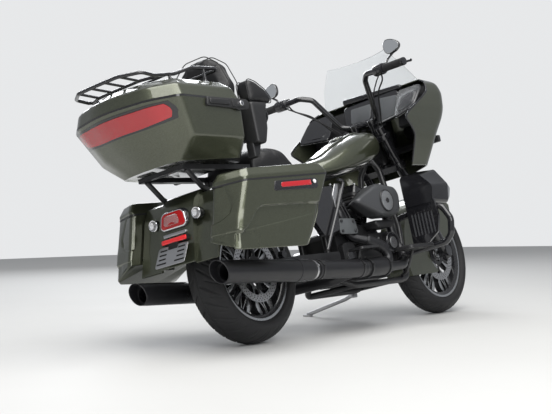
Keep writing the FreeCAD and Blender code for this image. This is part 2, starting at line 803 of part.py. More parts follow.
# saddlebags, drawn from the fender top
BAG_ROWS = (
    # height, rear y inside, rear y outside, rear x, front x, front y, inset, fall
    (-273.0, -472.0, -446.0, 380.0, 430.0, -6.0, 0.0, 0.43),
    (-190.0, -440.0, -404.0, 372.0, 436.0, 96.0, 0.0, 0.12),
    (-168.0, -434.0, -384.0, 384.0, 450.0, 116.0, 0.0, 0.0),
    (-42.0, -396.0, -328.0, 393.0, 452.0, 206.0, 0.0, 0.0),
)
LID_ROWS = (
    # height, rear y inside, rear y outside, rear x, front x, front y, inset, fall
    (-24.0, -396.0, -328.0, 393.0, 452.0, 206.0, 0.0, 0.0),
    (14.0, -366.0, -304.0, 374.0, 430.0, 182.0, 18.0, 0.0),
)


def bag_ring(row, wall):
    """Plan of the right bag at a height, for its outer or its inner skin."""
    z, rear_in, rear_out, x_rear, x_front, front, inset, fall = row
    x_in = BAG_INNER_X + wall + inset
    pts = [(x_in, rear_in + wall), (x_rear - wall, rear_out + wall),
           (x_front - wall, front - wall), (x_in, front - wall)]
    ring = [(x, y, z + BAG_SEAM_SLOPE * y - fall * (x - BAG_INNER_X)) for x, y in pts]
    return corner_wire(ring, 26 - wall)


def bag():
    outer = loft([bag_ring(row, 0) for row in BAG_ROWS])
    inner = loft([bag_ring(row, BAG_WALL) for row in BAG_ROWS])
    inner.translate(V(0, 0, BAG_WALL))
    return outer.cut(inner)


def lid_solid(wall, lift):
    seam = bag_ring(BAG_ROWS[-1], wall)
    seam.translate(V(0, 0, lift))
    return loft([seam] + [bag_ring(row, wall) for row in LID_ROWS])


def bag_lid():
    inner = lid_solid(BAG_WALL, SEAM_GAP + BAG_WALL)
    inner.translate(V(0, 0, -BAG_WALL))
    return lid_solid(0, SEAM_GAP).cut(inner)


def saddlebag_right():
    return bag()


def saddlebag_left():
    return mirror(bag())


def bag_lid_right():
    return bag_lid()


def bag_lid_left():
    return mirror(bag_lid())


# tour case, drawn from the fender top
CASE_FRONT_Y = -64.0
CASE_SEAM = 334.0
CASE_ROWS = (
    # height, half width ahead, half width behind, rear corner y, rear middle past it
    (86.0, 238.0, 176.0, -470.0, 30.0),
    (174.0, 292.0, 284.0, -480.0, 112.0),
    (CASE_SEAM, 304.0, 327.0, -560.0, REAR_OVERHANG - 560.0),
)
CASE_LID_ROWS = (
    (CASE_SEAM + SEAM_GAP, 304.0, 327.0, -560.0, REAR_OVERHANG - 560.0),
    (CASE_SEAM + 58, 290.0, 306.0, -554.0, REAR_OVERHANG - 568.0),
    (CASE_SEAM + 104, 236.0, 240.0, -480.0, 136.0),
)


def case_ring(row, wall, front):
    z, ahead, behind, corner, bulge = row
    a = ahead - wall
    b = behind - wall
    f = front - wall
    s = corner + wall
    m = s - bulge
    pts = [(-a, f - 84, z), (-b, s, z), (-0.66 * b, s - 0.62 * bulge, z), (0, m, z),
           (0.66 * b, s - 0.62 * bulge, z), (b, s, z), (a, f - 84, z), (a - 74, f, z),
           (74 - a, f, z)]
    return corner_wire(pts, [30, 44, 160, 500, 160, 44, 30, 20, 20])


def tour_case_base():
    outer = loft([case_ring(row, 0, CASE_FRONT_Y) for row in CASE_ROWS])
    inner = loft([case_ring(row, CASE_WALL, CASE_FRONT_Y) for row in CASE_ROWS])
    inner.translate(V(0, 0, CASE_WALL))
    return outer.cut(inner)


def tour_case_lid():
    fronts = (CASE_FRONT_Y - 6, CASE_FRONT_Y - 14, CASE_FRONT_Y - 40)
    outer = loft([case_ring(row, 0, f) for row, f in zip(CASE_LID_ROWS, fronts)])
    inner = loft([case_ring(row, CASE_WALL, f) for row, f in zip(CASE_LID_ROWS, fronts)])
    inner.translate(V(0, 0, -CASE_WALL))
    return outer.cut(inner)


def luggage_rack():
    low = CASE_SEAM + 128
    high = CASE_SEAM + 170
    deck = CASE_SEAM + 104.3
    tail = 12 - REAR_OVERHANG
    half = [(0, tail - 2, low + 2), (120, tail + 2, low + 2), (206, tail + 64, low + 2),
            (207, -566, low - 8), (208, -440, low + 6), (212, -320, high),
            (206, -150, high + 8), (180, -128, high + 8), (0, -128, high + 8)]
    parts = both(bent(half, 8, 36))
    parts.append(bent([(-207, -540, low - 9), (-130, -576, low - 9), (130, -576, low - 9),
                       (207, -540, low - 9)], 7, 60))
    parts.append(rod((-207, -500, low - 4), (207, -500, low - 4), 6))
    for x, shift in ((-126, 20), (-42, 0), (42, 0), (126, 10)):
        parts.append(rod((x, tail + shift, low + 2), (x, -575, low - 9), 6))
    for x in (-208, 208):
        for y in (-470, -240):
            top = low + 2 if y < -400 else high + 3
            parts.append(rod((x, y, deck), (x, y, top), 7))
    return join(parts)


def backrest():
    z = CASE_SEAM
    back = plate_xz([(-165, z + 20), (165, z + 20), (182, z + 130), (140, z + 236),
                     (60, z + 292), (-60, z + 292), (-140, z + 236), (-182, z + 130)],
                    -54, 28, 30)
    arm = plate_yz([(-54, z + 6), (-54, z + 124), (22, z + 106), (84, z + 70),
                    (118, z + 30), (110, z + 6)], 205, 298, 16)
    face = CASE_FRONT_Y + COVER_GAP
    high = plate_yz([(face, z - 190), (face, z + 8), (62, z + 8), (44, z - 30),
                     (30, z - 120), (0, z - 190)], 215, 296, 16)
    low = plate_yz([(face, z - 250), (face, z - 180), (4, z - 180), (-24, z - 236),
                    (-40, z - 250)], 215, 262, 8)
    link = box(-220, 220, -54, -20, z + 6, z + 40)
    pad = box(-216, 216, face, 20, z - 156, z + 8)
    return join([back, link, pad] + both(arm) + both(high) + both(low))


def case_mount():
    parts = []
    under = CASE_ROWS[0][0] - COVER_GAP
    for x in (-122, 122):
        parts.append(bent([(x, -384, under - 18), (x, -300, -14), (x, -190, -68)], 12, 30))
        parts.append(rod((x, 20, -34), (x, 20, under - 10), 12))
        parts.append(box(x - 16, x + 16, -420, 40, under - 22, under))
    for y in (-420, 0):
        parts.append(box(-122, 122, y, y + 30, under - 20, under))
    return join(parts)


# lamps and plate bracket, drawn from the fender top
def tail_lamp():
    body = plate_yz([(-361, -82), (-392, -84), (-402, -100), (-409, -168), (-400, -178),
                     (-387, -177)], -86, 86, 3)
    return body


def signal_lamps():
    lamp = Part.makeCylinder(26, 34, V(132, -388, -130), V(0, 1, 0))
    arm = rod((132, -356, -130), (132, -338, -130), 10)
    return both(join([lamp, arm]))


def signals_and_plate():
    bar = plate_yz([(-420, -236), (-414, -208), (-392.5, -208), (-398, -236)], -78, 78, 2)
    plate = box(-92, 92, -2, 2, -53, 53)
    plate.rotate(V(0, 0, 0), V(1, 0, 0), -30)
    plate.translate(V(0, -446, -288))
    stem = plate_yz([(-432, -262), (-424, -232), (-397, -232), (-403, -262)], -30, 30)
    return Part.makeCompound(signal_lamps() + [join([bar, plate, stem])])


# fairing, drawn from the front axle
FAIRING_ROWS = (
    # z, half width, rear y, side front y, nose y
    (775.0, 282.0, -390.0, -262.0, -125.0),
    (900.0, 328.0, -430.0, -226.0, -52.0),
    (1040.0, 376.0, -530.0, -156.0, 22.0),
    (1150.0, 404.0, -390.0, -135.0, -5.0),
    (1206.0, 392.0, -236.0, -150.0, -45.0),
    (1240.0, 330.0, -232.0, -172.0, -95.0),
)


def fairing_ring(row, wall=0.0, back=0.0):
    z, half, rear, side, nose = row
    w = half - wall
    y0 = rear - back
    s = side - wall
    n = nose - wall
    brow = n - 0.1 * (n - s)
    pts = [(-w, y0, z), (w, y0, z), (w, s, z), (0.42 * w, brow, z), (-0.42 * w, brow, z),
           (-w, s, z)]
    return corner_wire(pts, [4, 4, 60, 70, 70, 60])


def lamp_hole():
    hole = Part.makeCylinder(LAMP_R + COVER_GAP, 150, V(96, -125, 1030), V(0, 1, 0))
    return both(hole)


def fairing_outer():
    outer = loft([fairing_ring(row) for row in FAIRING_ROWS])
    inner = loft([fairing_ring(row, FAIRING_WALL, 60.0) for row in FAIRING_ROWS])
    inner.translate(V(0, 0, -FAIRING_WALL))
    shell = outer.cut(inner)
    for hole in lamp_hole():
        shell = shell.cut(hole)
    return shell


def headlamps():
    lamp = Part.makeCylinder(LAMP_R, 60, V(96, -45, 1030), V(0, 1, 0))
    return Part.makeCompound(both(lamp) + [fairing_bracket()])


def fairing_bracket():
    stalk = box(-30, 30, -232, -125, 884, 930)
    bar = box(-360, 360, -155, -125, 900, 936)
    rise = box(-36, 36, -155, -125, 930, 1238)
    roof = box(-220, 220, -215, -125, 1190, 1200)
    return biggest(join([stalk, bar, rise, roof]).cut(fairing_outer()))


def fairing_inner():
    panel = plate_yz([(-259, 1216), (-303, 1100), (-325, 1010), (-295, 1000),
                      (-273, 1096), (-233, 1206)], -390, 390, 6)
    room = loft([fairing_ring(row, FAIRING_WALL + COVER_GAP) for row in FAIRING_ROWS])
    slot = box(-196, 196, -425, -225, 900, 1084)
    return biggest(panel.common(room).cut(slot))


def screen_ring(z, half, side, mid):
    t = SCREEN_THICK
    outer = Part.Arc(V(-half, side, z), V(0, mid, z), V(half, side, z)).toShape()
    inner = Part.Arc(V(half, side - t, z), V(0, mid - t, z), V(-half, side - t, z)).toShape()
    right = Part.makeLine(V(half, side, z), V(half, side - t, z))
    left = Part.makeLine(V(-half, side - t, z), V(-half, side, z))
    return Part.Wire([outer, right, inner, left])


def windscreen():
    base = FAIRING_ROWS[-1][0] + COVER_GAP
    rows = ((base, 318.0, -228.0, -100.0), (base + 104, 268.0, -275.0, -175.0),
            (base + 210, 196.0, -305.0, -245.0))
    return loft([screen_ring(*row) for row in rows])


def pod_section(y, low, high, x_in, x_out, top):
    """Cross section of a lower fairing: low and high are its outer corners."""
    return corner_wire([(x_in, y, low), (x_out - 20, y, low - 4), (x_out, y, high),
                        (x_out - 62, y, top - 18), (x_in, y, top)], 22)


def lower_fairing():
    pod = loft([pod_section(-453, 560, 640, 205, 392, 730),
                pod_section(-325, 548, 640, 210, 410, 752),
                pod_section(-201, 580, 640, 230, 350, 700)])
    vent = plate_xz([(205, 344), (300, 356), (366, 398), (390, 480), (380, 575),
                     (205, 575)], -451, -437, 10)
    for i in range(7):
        x = 228 + i * 20
        vent = vent.cut(box(x, x + 9, -460, -430, 400, 520))
    return join([pod, vent])


def lower_fairings():
    return Part.makeCompound(both(lower_fairing()))


def oil_cooler():
    core = box(-92, 92, -403, -363, 300, 470)
    for i in range(10):
        z = 308 + i * 16
        core = core.cut(box(-84, 84, -375, -360, z, z + 9))
    ear = box(70, 132, -450, -397, 360, 376)
    return join([core] + both(ear))


def engine_guard():
    side = bent([(124, -409, 520), (250, -385, 540), (400, -422, 530), (440, -422, 450),
                 (424, -422, 374), (384, -422, 338), (142, -464, 326)], 17, 50)
    return Part.makeCompound(both(side))


# boards, drawn from the crank in y
def floorboards():
    board = plate_xy([(232, 56), (350, 80), (350, 300), (232, 320)], 330, 342, 30)
    arm = bent([(RAIL_HALF, 230, RAIL_Z + 18), (190, 230, 230), (250, 230, 332)], 8, 20)
    rear = plate_xy([(220, -310), (310, -300), (310, -150), (220, -140)], 352, 364, 20)
    stay = bent([(UPRIGHT_X, -266, 312.5), (250, -266, 312.5), (262, -260, 354)], 8, 12)
    return Part.makeCompound(both(join([board, arm])) + both(join([rear, stay])))


def belt_loop(grow):
    """Solid that the belt's outer or inner face bounds."""
    z = REAR_AXLE_Z
    r0 = PULLEY_R + grow
    r1 = SPROCKET_R + grow
    y1 = CRANK_Y - 210
    tilt = (r0 - r1) / y1
    cos = math.sqrt(1.0 - tilt * tilt)
    line = [(r0 * tilt, z + r0 * cos), (y1 + r1 * tilt, z + r1 * cos),
            (y1 + r1 * tilt, z - r1 * cos), (r0 * tilt, z - r0 * cos)]
    ends = [Part.makeCylinder(r0, BELT_WIDTH, V(BELT_X, 0, z), V(1, 0, 0)),
            Part.makeCylinder(r1, BELT_WIDTH, V(BELT_X, y1, z), V(1, 0, 0))]
    return join([plate_yz(line, BELT_X, BELT_X + BELT_WIDTH)] + ends)


def drive_belt():
    return belt_loop(BELT_THICK).cut(belt_loop(0))


# side stand
def stand_foot():
    return (-STAND_REACH, CRANK_Y + 285, STAND_REACH * LEAN_SIN / LEAN_COS)


def side_stand():
    px = STAND_PIVOT_X
    py = CRANK_Y + 260
    pz = STAND_PIVOT_Z
    foot = V(*stand_foot())
    up = V(LEAN_SIN, 0, LEAN_COS)
    ankle = foot + up * 10
    leg = bent([(px, py, pz), (px - 60, py + 6, pz - 14), (ankle.x, ankle.y, ankle.z)],
               11, 60)
    boss = Part.makeCylinder(19, 30, V(px, py, pz - 15), V(*STAND_AXIS))
    pad = Part.makeCylinder(27, 10, foot, up)
    return join([leg, boss, pad])


PLACES = {
    "rear": (0.0, 0.0, 0.0),
    "top": (0.0, 0.0, FENDER_TOP_Z),
    "waist": (0.0, CRANK_Y, FENDER_TOP_Z),
    "crank": (0.0, CRANK_Y, CRANK_Z),
    "boards": (0.0, CRANK_Y, 0.0),
    "front": (0.0, WHEELBASE, 0.0),
    "bars": (0.0, STEER_TOP_Y, CLAMP_TOP_Z),
}

# node name, shape builder, place it is drawn from, nodes this one gives way to
NODES = (
    ("frame", frame, "rear", ()),
    ("swingarm", swingarm, "rear", ("frame",)),
    ("rear_shocks", rear_shocks, "rear", ("swingarm", "frame")),
    ("crankcase", crankcase, "crank", ("frame",)),
    ("cylinders", cylinders, "crank", ("frame", "crankcase")),
    ("engine_covers", engine_covers, "crank", ("crankcase", "cylinders", "frame")),
    ("rocker_boxes", rocker_boxes, "crank", ("cylinders", "crankcase", "engine_covers",
                                             "frame")),
    ("primary_cover", primary_cover, "crank", ("crankcase", "frame")),
    ("air_cleaner", air_cleaner, "crank", ("cylinders", "rocker_boxes")),
    ("headers", headers, "rear", ("cylinders", "engine_covers", "crankcase",
                                  "frame", "air_cleaner", "swingarm", "primary_cover",
                                  "rocker_boxes")),
    ("mufflers", mufflers, "rear", ("headers",)),
    ("fuel_tank", fuel_tank, "rear", ("frame", "rocker_boxes")),
    ("seat", seat, "top", ("frame",)),
    ("side_covers", side_covers, "waist", ("frame", "swingarm", "seat")),
    ("rear_fender", rear_fender, "top", ("frame", "seat", "rear_shocks")),
    ("saddlebag_right", saddlebag_right, "top", ()),
    ("saddlebag_left", saddlebag_left, "top", ()),
    ("bag_lid_right", bag_lid_right, "top", ()),
    ("bag_lid_left", bag_lid_left, "top", ()),
    ("tour_case_base", tour_case_base, "top", ()),
    ("tour_case_lid", tour_case_lid, "top", ()),
    ("luggage_rack", luggage_rack, "top", ("tour_case_lid",)),
    ("backrest", backrest, "top", ("tour_case_base", "seat")),
    ("case_mount", case_mount, "top", ("tour_case_base", "rear_fender", "frame", "seat",
                                       "backrest")),
    ("tail_lamp", tail_lamp, "top", ("rear_fender",)),
    ("signals_and_plate", signals_and_plate, "top", ("rear_fender",)),
    ("fairing_outer", fairing_outer, "front", ()),
    ("fairing_inner", fairing_inner, "front", ("fairing_outer",)),
    ("headlamps", headlamps, "front", ("fairing_outer", "frame", "fairing_inner")),
    ("windscreen", windscreen, "front", ("fairing_outer",)),
    ("lower_fairings", lower_fairings, "front", ("frame", "fairing_outer")),
    ("oil_cooler", oil_cooler, "front", ("frame",)),
    ("engine_guard", engine_guard, "front", ("frame", "lower_fairings", "oil_cooler")),
    ("floorboards", floorboards, "boards", ("frame", "headers", "engine_guard",
                                            "engine_covers", "swingarm")),
    ("drive_belt", drive_belt, "rear", ()),
    ("rear_tyre", rear_tyre, "rear", ()),
    ("rear_rim", rear_rim, "rear", ()),
    ("fork_tubes", fork_tubes, "front", ()),
    ("fork_sliders", fork_sliders, "front", ("fork_tubes",)),
    ("front_fender", front_fender, "front", ("fork_sliders",)),
    ("handlebar", handlebar, "bars", ("fork_tubes",)),
    ("hand_controls", hand_controls, "bars", ("handlebar",)),
    ("front_tyre", front_tyre, "front", ()),
    ("front_rim", front_rim, "front", ()),
    ("side_stand", side_stand, "rear", ()),
)


def clear_of(shape, others):
    """Take away what other pieces fill, and drop crumbs that are left."""
    solids = []
    for solid in shape.Solids:
        for other in others:
            if solid.Volume > 0 and solid.BoundBox.intersect(other.BoundBox):
                solid = solid.cut(other)
        solids += [s for s in solid.Solids if s.Volume > 60.0]
    if len(solids) == 1:
        return solids[0]
    return Part.makeCompound(solids)


def leaned(shape):
    moved = shape.copy()
    moved.rotate(V(0, 0, 0), V(0, 1, 0), -LEAN)
    moved.translate(V(*SHIFT))
    return moved


def build():
    made = {}
    for name, maker, place, others in NODES:
        shape = maker()
        shape.translate(V(*PLACES[place]))
        made[name] = clear_of(shape, [made[o] for o in others])
    return made


os.makedirs("parts", exist_ok=True)
SHAPES = build()
for node_name in SHAPES:
    leaned(SHAPES[node_name]).exportStep("parts/" + node_name + ".step")
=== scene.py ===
import json
import math
import bmesh
import bpy
import numpy as np
from bpy.props import FloatProperty, FloatVectorProperty, IntProperty, PointerProperty
from mathutils import Matrix

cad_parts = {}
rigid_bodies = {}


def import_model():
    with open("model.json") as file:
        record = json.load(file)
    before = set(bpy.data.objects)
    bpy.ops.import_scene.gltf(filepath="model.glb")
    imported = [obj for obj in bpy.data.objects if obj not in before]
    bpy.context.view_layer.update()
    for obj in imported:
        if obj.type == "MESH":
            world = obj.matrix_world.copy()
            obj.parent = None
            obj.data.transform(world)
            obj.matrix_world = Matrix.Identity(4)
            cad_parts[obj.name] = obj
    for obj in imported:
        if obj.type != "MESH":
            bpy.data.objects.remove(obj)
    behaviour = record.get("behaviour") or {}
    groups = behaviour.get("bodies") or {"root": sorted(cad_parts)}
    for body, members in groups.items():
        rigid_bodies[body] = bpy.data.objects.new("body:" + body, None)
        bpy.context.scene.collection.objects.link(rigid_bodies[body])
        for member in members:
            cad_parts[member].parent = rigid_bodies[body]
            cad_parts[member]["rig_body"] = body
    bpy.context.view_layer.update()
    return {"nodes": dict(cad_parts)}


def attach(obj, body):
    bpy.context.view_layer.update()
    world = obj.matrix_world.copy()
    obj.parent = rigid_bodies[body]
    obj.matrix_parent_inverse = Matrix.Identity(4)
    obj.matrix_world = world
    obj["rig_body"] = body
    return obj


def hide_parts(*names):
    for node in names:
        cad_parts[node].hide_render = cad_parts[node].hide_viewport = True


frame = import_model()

bl_info = {
    "name": "Touring Motorcycle Dressing",
    "version": (1, 0, 0),
    "blender": (4, 5, 0),
    "location": "3D View > Sidebar > Motorcycle",
    "description": "Surfaces, finishes and stage for a touring motorcycle on its side stand",
    "category": "Object",
}

# The shapes are worked out in millimetres on the upright machine: x to the
# right, y forward from the rear axle, z up. place() leans and shifts them.
LEAN = math.radians(13.0)
SHIFT = np.array([218.0, -617.5, 0.0])
REAR_AXLE_Z = 329.63
FRONT_AXLE_Z = 327.0
FENDER_TOP = 726.63
CRANK = np.array([0.0, 850.0, 330.0])
FRONT = np.array([0.0, 1625.0, 0.0])
TOP = np.array([0.0, 0.0, FENDER_TOP])
BARS = np.array([0.0, 1308.3, 1004.0])
MATS = {}


def place(points):
    """Lean the points to the left about the floor line, shift them, and turn mm into m."""
    p = np.asarray(points, float)
    x, y, z = p[..., 0], p[..., 1], p[..., 2]
    c, s = math.cos(LEAN), math.sin(LEAN)
    return (np.stack([c * x - s * z, y, s * x + c * z], -1) + SHIFT) / 1000.0


def unit(v):
    v = np.asarray(v, float)
    return v / np.maximum(np.linalg.norm(v, axis=-1, keepdims=True), 1e-9)


def grid_faces(rows, cols, wrap_rows=False):
    """Quads between neighbours of a rows by cols grid of points whose columns run round."""
    i, j = np.meshgrid(np.arange(rows if wrap_rows else rows - 1), np.arange(cols),
                       indexing="ij")
    i2, j2 = (i + 1) % rows, (j + 1) % cols
    return np.stack([i * cols + j, i * cols + j2, i2 * cols + j2, i2 * cols + j],
                    -1).reshape(-1, 4).tolist()


def skin(grid, caps=True, wrap_rows=False):
    """A grid of points as one surface, its first and last rows closed where asked."""
    rows, cols = grid.shape[:2]
    faces = grid_faces(rows, cols, wrap_rows)
    if caps and not wrap_rows:
        faces.append(list(range(cols))[::-1])
        faces.append([(rows - 1) * cols + k for k in range(cols)])
    return grid.reshape(-1, 3), faces


def mirrored(parts):
    """The same parts on the other side: x changes sign and the faces turn round."""
    out = []
    for points, faces, *rest in parts:
        flip = np.asarray(points) * np.array([-1.0, 1.0, 1.0])
        out.append((flip, [f[::-1] for f in faces], *rest))
    return out


def both(parts):
    return list(parts) + mirrored(parts)


def moved(parts, offset):
    return [(np.asarray(p) + offset, f, *rest) for p, f, *rest in parts]


def numbered(*groups):
    """Parts of several groups, each part with its group's number as its material."""
    return [(*part[:2], k) for k, group in enumerate(groups) for part in group]


def link(name, mesh):
    """An object for a mesh, in the scene."""
    obj = bpy.data.objects.new(name, mesh)
    bpy.context.scene.collection.objects.link(obj)
    return obj


def make(name, parts, mats, body="chassis", node=None, sharp=38.0):
    """One object from parts: each is (points, faces) or (points, faces, material number)."""
    points, faces, index, start = [], [], [], 0
    for part in parts:
        p, f = part[0], part[1]
        m = part[2] if len(part) > 2 else 0
        points.append(np.asarray(p, float))
        faces += [[k + start for k in face] for face in f]
        index += [m] * len(f)
        start += len(p)
    mesh = bpy.data.meshes.new(name)
    mesh.from_pydata(place(np.concatenate(points)).tolist(), [], faces)
    mesh.polygons.foreach_set("material_index", index)
    for m in ([mats] if isinstance(mats, str) else mats):
        mesh.materials.append(MATS[m])
    bm = bmesh.new()
    bm.from_mesh(mesh)
    bmesh.ops.recalc_face_normals(bm, faces=bm.faces)
    bm.to_mesh(mesh)
    bm.free()
    obj = link(name, mesh)
    finish_mesh(obj, sharp)
    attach(obj, body)
    if node:
        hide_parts(node)
    return obj


def finish_mesh(obj, sharp, bevel=0.0):
    """Smooth shading with sharp edges past an angle, and rounded edges where asked."""
    obj.data.shade_smooth()
    obj.data.set_sharp_from_angle(angle=math.radians(sharp))
    if bevel:
        mod = obj.modifiers.new("Edges", "BEVEL")
        mod.width = bevel / 1000.0
        mod.segments = 2
        mod.limit_method = "ANGLE"
        mod.angle_limit = math.radians(sharp)
        mod.harden_normals = False


DRESS_SHARP = 32.0


def dress(node, mat, bevel):
    """A merged copy of a solid from the frame with rounded edges and a finish."""
    source = frame["nodes"][node]
    bm = bmesh.new()
    bm.from_mesh(source.data)
    bmesh.ops.remove_doubles(bm, verts=bm.verts, dist=2e-5)
    bmesh.ops.dissolve_limit(bm, angle_limit=math.radians(1.0), verts=bm.verts,
                             edges=bm.edges)
    mesh = bpy.data.meshes.new(node + "_skin")
    bm.to_mesh(mesh)
    bm.free()
    mesh.materials.clear()
    mesh.materials.append(MATS[mat])
    mesh.polygons.foreach_set("material_index", [0] * len(mesh.polygons))
    obj = link(mesh.name, mesh)
    finish_mesh(obj, DRESS_SHARP, bevel)
    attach(obj, source["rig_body"])
    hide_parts(node)
    return obj


# shapes on grids
def round_path(points, bend=40.0, steps=7):
    """Points joined by straight runs, with an arc of the bend radius at each inner one."""
    p = np.asarray(points, float)
    out = [p[:1]]
    for k in range(1, len(p) - 1):
        a, b = unit(p[k - 1] - p[k]), unit(p[k + 1] - p[k])
        half = 0.5 * math.acos(np.clip(a @ b, -1, 1))
        if math.pi - 2 * half < 0.02:
            continue
        cut = min(bend / math.tan(half), 0.46 * np.linalg.norm(p[k - 1] - p[k]),
                  0.46 * np.linalg.norm(p[k + 1] - p[k]))
        r = cut * math.tan(half)
        centre = p[k] + unit(a + b) * r / math.sin(half)
        u = unit(p[k] + a * cut - centre)
        w = p[k] + b * cut - centre
        w = unit(w - (w @ u) * u)
        t = np.linspace(0, math.pi - 2 * half, steps)[:, None]
        out.append(centre + r * (np.cos(t) * u + np.sin(t) * w))
    out.append(p[-1:])
    return np.concatenate(out)


def smooth_path(points, n=40):
    """Catmull-Rom curve through the points."""
    p = np.asarray(points, float)
    p = np.concatenate([2 * p[:1] - p[1:2], p, 2 * p[-1:] - p[-2:-1]])
    t = np.linspace(0, len(p) - 3 - 1e-9, n)
    k = t.astype(int)
    f = (t - k)[:, None]
    a, b, c, d = p[k], p[k + 1], p[k + 2], p[k + 3]
    return 0.5 * (2 * b + (c - a) * f + (2 * a - 5 * b + 4 * c - d) * f ** 2
                  + (3 * b - a - 3 * c + d) * f ** 3)


def frames(path, ref=None):
    """Tangent and two side vectors at each point of a path, turned as little as possible."""
    t = unit(np.gradient(path, axis=0))
    n = np.empty_like(t)
    first = np.eye(3)[np.argmin(np.abs(t[0]))] if ref is None else np.asarray(ref, float)
    n[0] = unit(first - (first @ t[0]) * t[0])
    for k in range(1, len(path)):
        v = n[k - 1] - (n[k - 1] @ t[k]) * t[k]
        n[k] = unit(v)
    return t, n, np.cross(t, n)


def sweep(path, section, ref=None, scale=None, caps=True, closed=False):
    """A closed section of (side, up) points carried along a path."""
    path = np.asarray(path, float)
    sec = np.asarray(section, float)
    _, n, b = frames(path, ref)
    k = np.ones(len(path)) if scale is None else np.asarray(scale, float)
    grid = (path[:, None] + k[:, None, None] * (sec[None, :, :1] * n[:, None]
                                                + sec[None, :, 1:] * b[:, None]))
    return skin(grid, caps=caps, wrap_rows=closed)


def circle(r, n=16):
    a = np.linspace(0, 2 * math.pi, n, endpoint=False)
    return np.stack([r * np.cos(a), r * np.sin(a)], -1)


def tube(points, r, bend=40.0, n=16, path=None):
    """Round bar along a bent route, or along a path given point by point."""
    line = round_path(points, bend) if path is None else path
    return sweep(line, circle(r, n))


def turned(profile, origin, axis, n=32, ref=None):
    """A profile of (radius, height) points turned about an axis."""
    a = unit(axis)
    side = np.eye(3)[np.argmin(np.abs(a))] if ref is None else np.asarray(ref, float)
    u = unit(side - (side @ a) * a)
    w = np.cross(a, u)
    p = np.asarray(profile, float)
    t = np.linspace(0, 2 * math.pi, n, endpoint=False)[None, :, None]
    return (np.asarray(origin, float) + p[:, 1][:, None, None] * a
            + p[:, 0][:, None, None] * (np.cos(t) * u + np.sin(t) * w))


def knob(origin, axis, r, h, edge=None, n=24, dome=0.0):
    """Short turned piece with a rounded rim, from its seat to its face."""
    e = min(0.3 * h, 0.2 * r) if edge is None else edge
    q = np.linspace(0, math.pi / 2, 4)
    rim = np.stack([r - e + e * np.cos(q), h - e + e * np.sin(q)], -1)
    d = np.linspace(0.9, 0.05, 4)
    face = np.stack([(r - e) * d, h + dome * (1 - d ** 2)], -1)
    profile = np.concatenate([[[r * 0.98, 0.0]], rim, face])
    return skin(turned(profile, origin, axis, n))


def ring_of(profile, axle, y=0.0, n=96):
    """A closed profile of (x, radius) points turned about a wheel's axle."""
    p = np.asarray(profile, float)
    t = np.linspace(0, 2 * math.pi, n, endpoint=False)[:, None]
    grid = np.stack([np.broadcast_to(p[:, 0], (n, len(p))), y + p[:, 1] * np.sin(t),
                     axle + p[:, 1] * np.cos(t)], -1)
    return skin(grid, caps=False, wrap_rows=True)


def outline(corners, radii, steps=6):
    """Closed flat outline of (a, b) points with every corner rounded by its radius."""
    p = np.asarray(corners, float)
    r = np.broadcast_to(np.asarray(radii, float), (len(p),))
    a = unit(np.roll(p, 1, 0) - p)
    b = unit(np.roll(p, -1, 0) - p)
    half = 0.5 * np.arccos(np.clip((a * b).sum(-1), -0.99999, 0.99999))
    reach = np.minimum(np.linalg.norm(np.roll(p, 1, 0) - p, axis=-1),
                       np.linalg.norm(np.roll(p, -1, 0) - p, axis=-1)) * 0.48
    cut = np.minimum(r / np.tan(half), reach)
    t = np.linspace(0, 1, steps)[None, :, None]
    s, e = (p + a * cut[:, None])[:, None], (p + b * cut[:, None])[:, None]
    q = p[:, None]
    w = np.sin(half)[:, None, None]
    num = (1 - t) ** 2 * s + 2 * t * (1 - t) * w * q + t ** 2 * e
    den = (1 - t) ** 2 + 2 * t * (1 - t) * w + t ** 2
    return (num / den).reshape(-1, 2)


def offset(loop, d):
    """A closed flat outline moved inwards by d."""
    t = unit(np.roll(loop, -1, 0) - np.roll(loop, 1, 0))
    area = 0.5 * np.sum(loop[:, 0] * np.roll(loop[:, 1], -1)
                        - np.roll(loop[:, 0], -1) * loop[:, 1])
    n = np.stack([-t[:, 1], t[:, 0]], -1) * (1.0 if area > 0 else -1.0)
    return loop + n * d


def slab(loop, low, high, plane="yz", edge=1.5, dome=0.0):
    """A flat outline given thickness from low to high, with rounded edges on both faces."""
    mid = loop.mean(0)
    rows = [(offset(loop, edge), low), (loop, low + edge), (loop, high - edge),
            (offset(loop, 0.35 * edge), high - 0.35 * edge), (offset(loop, edge), high)]
    if dome:
        for k in (0.8, 0.55, 0.3, 0.08):
            rows.append((mid + (offset(loop, edge) - mid) * k, high + dome * (1 - k * k)))
    grid = []
    for flat, level in rows:
        third = np.full(len(flat), float(level))
        if plane == "yz":
            grid.append(np.stack([third, flat[:, 0], flat[:, 1]], -1))
        elif plane == "xz":
            grid.append(np.stack([flat[:, 0], third, flat[:, 1]], -1))
        else:
            grid.append(np.stack([flat[:, 0], flat[:, 1], third], -1))
    return skin(np.stack(grid))


def block(x0, x1, y0, y1, z0, z1, edge=1.5, r=3.0):
    """Rounded bar with its corners in plan rounded too."""
    loop = outline([(x0, y0), (x1, y0), (x1, y1), (x0, y1)], r, 3)
    return slab(loop, z0, z1, "xy", edge)


def shell(outer, inner):
    """Two skins with the same grid joined at their first rows into one wall."""
    rows, cols = outer.shape[:2]
    a, fa = skin(outer, caps=False)
    b, fb = skin(inner, caps=False)
    k = rows * cols
    faces = fa + [[v + k for v in f][::-1] for f in fb]
    i = np.arange(cols)
    rim = np.stack([i, (i + 1) % cols, k + (i + 1) % cols, k + i], -1).tolist()
    faces += rim
    faces.append([(rows - 1) * cols + v for v in range(cols)])
    faces.append([k + (rows - 1) * cols + v for v in range(cols)][::-1])
    return np.concatenate([a, b]), faces


